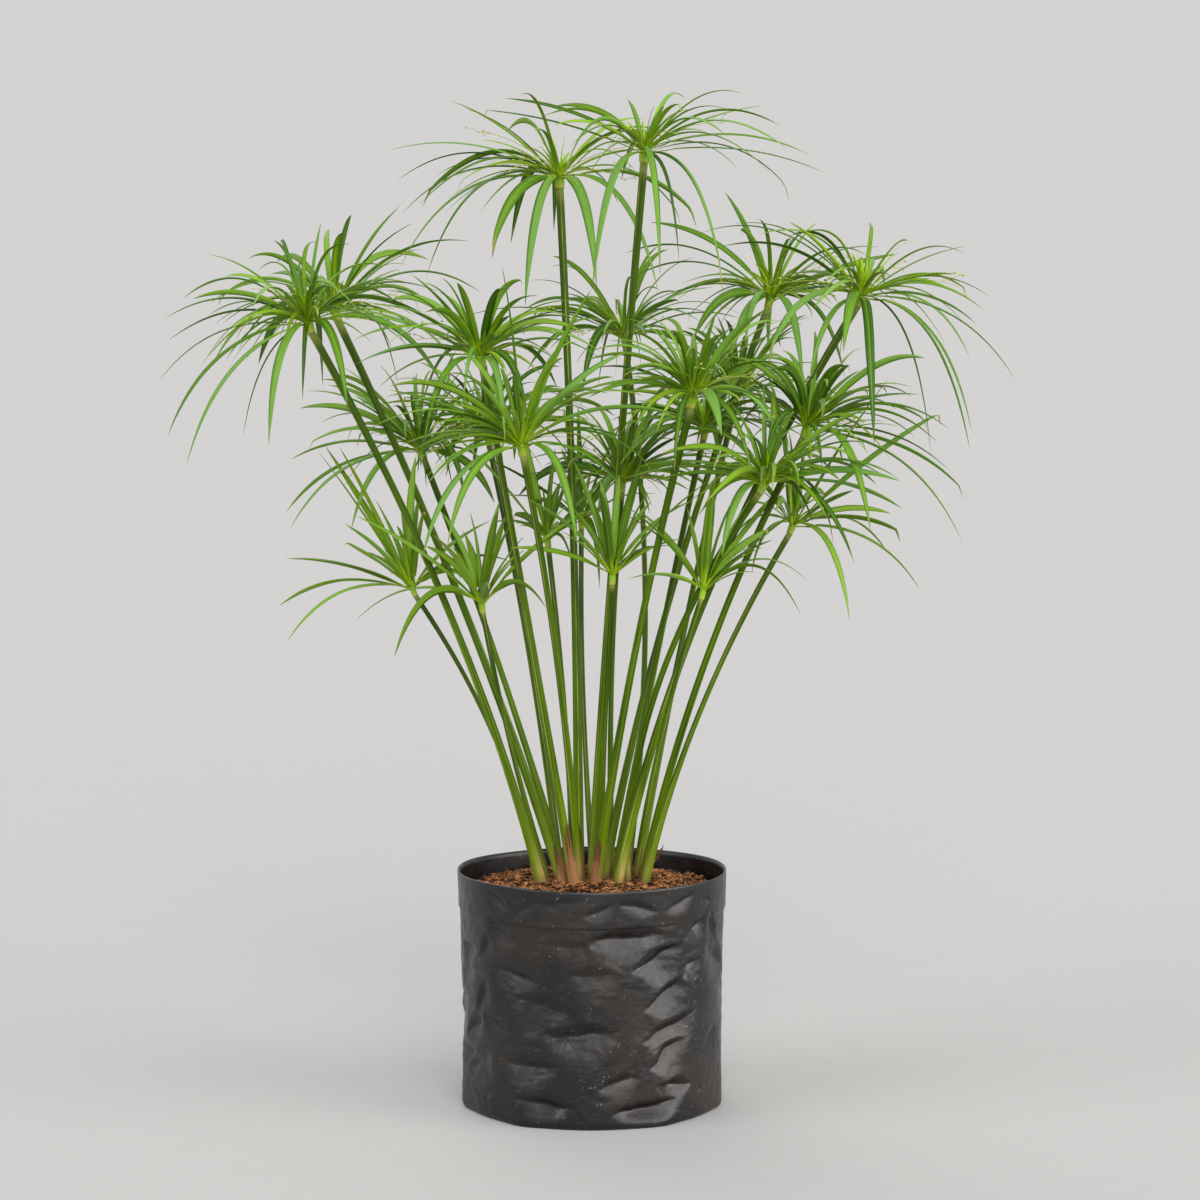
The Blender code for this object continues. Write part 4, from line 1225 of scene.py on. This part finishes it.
    def add_rays(self, count):
        """Wiry rays, some forked near the end."""
        rng = self.rng
        for _ in range(count):
            away = level(rng.uniform(0, 2 * math.pi))
            length = self.reach * rng.uniform(*RAY_REACH)
            lift = rng.uniform(-0.05, 0.55)
            bend = self.hub + away * length * 0.45 + UP * length * (0.2 + 0.5 * lift)
            tip = self.hub + away * length * 0.9 + UP * length * lift
            line = (self.hub + self.lean * 0.002, bend, tip)
            dry = rng.uniform(0.15, 0.75)
            add_wire(self.skin, line, rng.uniform(*RAY_RADIUS) * MM, dry, rng)
            if rng.random() < FORKED_SHARE:
                self.add_twigs(line, away, dry)

    def add_twigs(self, ray, away, dry):
        """Twigs near the end of a ray, each with its spikelet."""
        rng = self.rng
        for _ in range(rng.randrange(2, 5)):
            start = bezier(ray, rng.uniform(0.72, 1.0))
            way = (away + Vector((rng.gauss(0, 0.5), rng.gauss(0, 0.5), rng.gauss(0.2, 0.4)))).normalized()
            length = rng.uniform(*TWIG_LENGTH) * MM
            end = start + way * length
            middle = (start + end) / 2 + UP * length * 0.15
            add_wire(self.skin, (start, middle, end), TWIG_RADIUS * MM, dry, rng)
            add_spikelet(self.skin, end, way, rng)

    def add_collar(self):
        """The swollen joint between the culm and its blades."""
        below, top = self.head - self.axis * COLLAR_FOOT, self.hub + self.lean * COLLAR_TOP
        line = (below, (self.head + self.hub) / 2, top)
        side, front = square_to(self.axis)
        tone = self.rng.random()
        marks = {"along": 0.2, "tone": tone, "young": 0.3, "size": WIRE_SIZE}
        rings = []
        for share, wide, dry in COLLAR_LEVELS:
            ring = []
            for angle in turns(COLLAR_SIDES):
                radius = self.radius * wide * (1 + 0.05 * math.cos(5 * angle + tone * 6))
                spoke = math.cos(angle) * side + math.sin(angle) * front
                ring.append(self.skin.point(bezier(line, share) + radius * spoke, dry=dry, **marks))
            rings.append(ring)
        self.skin.loft(rings)
        self.skin.fan(rings[0], self.skin.point(below, dry=COLLAR_LEVELS[0][2], **marks), outward=False)
        self.skin.fan(rings[-1], self.skin.point(top, **marks))


def make_umbrella(number, settings, material, rng):
    """All parts of one whorl as one piece."""
    umbrella = Umbrella(number, rng)
    umbrella.add_broad_blades()
    umbrella.add_thin_blades(settings.thin_blades)
    umbrella.add_inner_blades(settings.inner_blades)
    umbrella.add_heart()
    if not umbrella.young:
        umbrella.add_rays(settings.rays)
    umbrella.add_collar()
    slot = "young_blades" if umbrella.young else "blades"
    return umbrella.skin.piece(f"umbrella_{number:02d}", material, slot, f"whorl_{number:02d}")


def blade_finish(name, settings, bright):
    """Ribbed leaf with a pale channel, a yellow-green base, dry tips and a painted bluish sheen on some
    broad blades.
    """
    leaf = Finish(name, 0.38, 0.20)
    along, across = leaf.mark("along"), leaf.mark("across")
    tone, young, dry = leaf.mark("tone"), leaf.mark("young"), leaf.mark("dry")
    long = leaf.times(along, leaf.times(leaf.mark("size"), 22))
    seed = leaf.times(tone, 61)
    streaks = leaf.combed(leaf.times(across, 5), long, seed, 3, 0.6)
    share = leaf.plus(leaf.times(streaks, 0.6), leaf.times(tone, 0.5))
    colour = leaf.mix(leaf.span(share, 0.30, 0.78), settings.deep, settings.leaf)
    # Painted sheen: some broad blades get a bluish green, as a painted reflection of the sky
    painted_sheen_share = leaf.times(leaf.span(tone, 0.45, 0.85, 0.0, 0.75), leaf.span(along, 0.15, 0.45))
    colour = leaf.mix(painted_sheen_share, colour, settings.painted_sheen)
    channel = leaf.times(leaf.span(leaf.math("ABSOLUTE", across), 0.22, 0.0), 0.45)
    colour = leaf.mix(channel, colour, tuple(CHANNEL_BRIGHTER * value for value in settings.leaf))
    fresh = leaf.math("MAXIMUM", leaf.span(along, 0.24, 0.02), leaf.plus(young, bright))
    colour = leaf.mix(leaf.times(fresh, 0.85, clamp=True), colour, settings.young)
    speckle = leaf.combed(leaf.times(across, 3), leaf.times(long, 3), seed, 4)
    colour = leaf.mix(leaf.times(dry, leaf.span(speckle, 0.25, 0.60, 0.6, 1.0)), colour, settings.dry)
    veins = leaf.math("SINE", leaf.times(across, 22))
    relief = leaf.bump(leaf.plus(leaf.times(veins, 0.4), streaks), 0.0002, 0.5)
    dull = leaf.plus(dry, leaf.times(streaks, 0.3))
    return leaf.done(colour, relief, leaf.span(dull, 0.0, 1.0, 0.46, 0.68))


# Dry scales


def make_scale(number, lines, material, rng):
    """A thin scale, torn into points, that wraps the foot of a culm."""
    node = f"scale_{number:02d}"
    low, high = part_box(node)
    middle = (low + high) / 2
    line, radii = min(lines, key=lambda entry: gap_to(entry[0], middle))
    total = line[2].z - line[0].z
    beside = middle - bezier(line, (middle.z - line[0].z) / total)
    turn = math.atan2(beside.y, beside.x)
    height = high.z - low.z
    skin = Skin("up", "tone", "across")
    tone = rng.random()
    points = [rng.uniform(0.45, 1.0) for _ in range(SCALE_COLUMNS)]
    points[rng.randrange(*LONGEST_POINT)] = 1.0
    lean, lean_start = level(turn) * rng.uniform(*SCALE_LEAN), SCALE_LEAN_START
    if number == PEELED_SCALE:
        turn, height = PEELED_TURN, PEELED_SHARE * height
        lean, lean_start = Vector(PEELED_LEAN), PEELED_LEAN_START
    rings = []
    for row in range(SCALE_ROWS + 1):
        up = row / SCALE_ROWS
        outer, inner = [], []
        for column, point in enumerate(points):
            x = 2 * column / (SCALE_COLUMNS - 1) - 1
            share = up * (1 - (1 - point) * 0.8 - 0.45 * abs(x) ** 1.8)
            spoke = level(turn + x * SCALE_SPREAD * (1 - 0.55 * up ** 1.5))
            ripple = 0.0004 * math.sin(9 * x + 7 * share + tone * 6) * share
            flare = 0.0008 * (share + x * x * (0.4 + share))
            place = bezier(line, share * height / total) + lean * smooth(share, lean_start, 1.0)
            place += spoke * (radii[0] + SCALE_GAP + flare + ripple)
            if row == 0:
                place.z -= SCALE_SINK
            marks = {"up": share, "tone": tone, "across": x}
            outer.append(skin.point(place + spoke * SCALE_THICKNESS, **marks))
            inner.append(skin.point(place, **marks))
        rings.append([*outer, *reversed(inner)])
    skin.loft(rings)
    skin.cap(rings)
    piece = skin.piece(f"dry_sheath_{number:02d}", material, "dry_scale", node)
    piece.data.shade_flat()
    return piece


def gap_to(line, place):
    """Distance from a place to a culm's curve at the same height."""
    t = min(max((place.z - line[0].z) / (line[2].z - line[0].z), 0.0), 1.0)
    return (bezier(line, t) - place).length


def scale_finish(settings):
    """Papery brown with darker veins, both browns darkened as painted shade for sheaths between the culms.
    """
    scale = Finish("dry scale", 0.74, 0.3)
    up, across = scale.mark("up"), scale.mark("across")
    seed = scale.times(scale.mark("tone"), 30)
    veins = scale.combed(scale.times(across, 9), scale.times(up, 2), seed, 4)
    share = scale.plus(scale.times(veins, 0.8), scale.times(up, 0.38))
    colour = scale.mix(scale.span(share, 0.40, 0.78, 0.0, 0.9), settings.pale, settings.dark)
    return scale.done(colour, scale.bump(veins, 0.0004, 0.7))


# Stage


def make_camera(settings):
    """The camera, in front of the bag and a little above it."""
    camera = bpy.data.cameras.new("camera")
    camera.sensor_width = SENSOR_WIDTH
    camera.lens = settings.lens
    view = bpy.data.objects.new("camera", camera)
    view.location = (0, -settings.distance, settings.height)
    view.rotation_euler = (math.pi / 2 - settings.pitch, 0, -settings.yaw)
    bpy.context.scene.collection.objects.link(view)
    bpy.context.scene.camera = view


def make_floor(settings):
    """A wide pale floor with a faint grain."""
    mesh = bpy.data.meshes.new("floor")
    corners = [(x * FLOOR_REACH, y * FLOOR_REACH, 0) for x, y in ((-1, -1), (1, -1), (1, 1), (-1, 1))]
    mesh.from_pydata(corners, [], [(0, 1, 2, 3)])
    ground = Finish("floor", 1.0, 0.0)
    shade = tuple(value * FLOOR_SHADE for value in settings.floor)
    grain = ground.noise(ground.place(), 40, 4)
    mesh.materials.append(ground.done(ground.mix(grain, shade, settings.floor)))
    floor = bpy.data.objects.new("floor", mesh)
    floor.location.z = -FLOOR_DROP
    bpy.context.scene.collection.objects.link(floor)


def make_sky():
    """A pale sky that meets the floor in one tone."""
    world = bpy.data.worlds.new("studio")
    world.use_nodes = True
    nodes, links = world.node_tree.nodes, world.node_tree.links
    parts = nodes.new("ShaderNodeSeparateXYZ")
    links.new(nodes.new("ShaderNodeTexCoord").outputs["Generated"], parts.inputs[0])
    ramp = nodes.new("ShaderNodeValToRGB")
    links.new(parts.outputs["Z"], ramp.inputs[0])
    stops = ramp.color_ramp.elements
    while len(stops) < len(SKY_STOPS):
        stops.new(0.5)
    for stop, (place, colour) in zip(stops, SKY_STOPS):
        stop.position = place
        stop.color = colour
    links.new(ramp.outputs["Color"], nodes["Background"].inputs["Color"])
    return world


def add_light(name, place, strength, width, colour):
    """A wide soft light that is even over the whole floor."""
    lamp = bpy.data.lights.new(name, "SUN")
    lamp.angle = math.radians(width)
    lamp.energy = strength
    lamp.color = colour
    light = bpy.data.objects.new(name, lamp)
    light.location = place
    light.rotation_euler = (-Vector(place)).to_track_quat("-Z", "Y").to_euler()
    bpy.context.scene.collection.objects.link(light)


# Operators


class SEDGE_OT_grow_bag(bpy.types.Operator):
    """Make the film grow bag."""

    bl_idname = "sedge.grow_bag"
    bl_label = "Grow bag"

    def execute(self, context):
        settings = context.scene.sedge.bag
        make_bag(settings, film_finish(settings))
        return {"FINISHED"}


class SEDGE_OT_peat(bpy.types.Operator):
    """Make the coco peat with its crumbs and fibres."""

    bl_idname = "sedge.peat"
    bl_label = "Coco peat"

    def execute(self, context):
        settings = context.scene.sedge.peat
        feet = [culm_line(number)[0][0] for number in CULMS]
        make_peat(settings, peat_finish(settings), [Vector((foot.x, foot.y, 0)) for foot in feet])
        return {"FINISHED"}


class SEDGE_OT_culms(bpy.types.Operator):
    """Make the green culms."""

    bl_idname = "sedge.culms"
    bl_label = "Culms"

    def execute(self, context):
        material = culm_finish(context.scene.sedge.culm)
        rng = random.Random(3)
        for number in CULMS:
            make_culm(number, material, rng)
        return {"FINISHED"}


class SEDGE_OT_umbrellas(bpy.types.Operator):
    """Make the umbrella of blades on each culm."""

    bl_idname = "sedge.umbrellas"
    bl_label = "Umbrellas"

    def execute(self, context):
        settings = context.scene.sedge.blade
        mature = blade_finish("blade green", settings, 0.0)
        young = blade_finish("young blade green", settings, YOUNG_BRIGHTER)
        for number in CULMS:
            material = young if number in YOUNG_WHORLS else mature
            make_umbrella(number, settings, material, random.Random(100 + number))
        return {"FINISHED"}


class SEDGE_OT_scales(bpy.types.Operator):
    """Make the dry scales at the feet of the culms."""

    bl_idname = "sedge.scales"
    bl_label = "Dry scales"

    def execute(self, context):
        material = scale_finish(context.scene.sedge.scale)
        lines = [culm_line(number) for number in CULMS]
        rng = random.Random(5)
        for number in SCALES:
            make_scale(number, lines, material, rng)
        return {"FINISHED"}


class SEDGE_OT_stage(bpy.types.Operator):
    """Make the camera, the floor, the sky and the lights."""

    bl_idname = "sedge.stage"
    bl_label = "Stage"

    def execute(self, context):
        settings = context.scene.sedge.stage
        make_camera(settings)
        make_floor(settings)
        for light in LIGHTS:
            add_light(*light)
        context.scene.world = make_sky()
        context.scene.view_settings.view_transform = "Standard"
        return {"FINISHED"}


class SEDGE_PT_panel(bpy.types.Panel):
    """Buttons for each group of pieces."""

    bl_idname = "SEDGE_PT_panel"
    bl_label = "Umbrella sedge"
    bl_space_type = "VIEW_3D"
    bl_region_type = "UI"
    bl_category = "Sedge"

    def draw(self, context):
        for operator in OPERATORS:
            self.layout.operator(operator.bl_idname)


OPERATORS = (
    SEDGE_OT_grow_bag, SEDGE_OT_peat, SEDGE_OT_culms, SEDGE_OT_umbrellas, SEDGE_OT_scales, SEDGE_OT_stage,
)
CLASSES = (
    SedgeBagSettings, SedgePeatSettings, SedgeCulmSettings, SedgeBladeSettings, SedgeScaleSettings,
    SedgeStageSettings, SedgeSettings, *OPERATORS, SEDGE_PT_panel,
)


def register():
    """Register the classes and the scene's settings."""
    for entry in CLASSES:
        bpy.utils.register_class(entry)
    bpy.types.Scene.sedge = PointerProperty(type=SedgeSettings)


def unregister():
    """Take them away again."""
    del bpy.types.Scene.sedge
    for entry in reversed(CLASSES):
        bpy.utils.unregister_class(entry)


def main():
    """Register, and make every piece."""
    register()
    bpy.ops.sedge.grow_bag()
    bpy.ops.sedge.peat()
    bpy.ops.sedge.culms()
    bpy.ops.sedge.umbrellas()
    bpy.ops.sedge.scales()
    bpy.ops.sedge.stage()


if __name__ == "__main__":
    main()
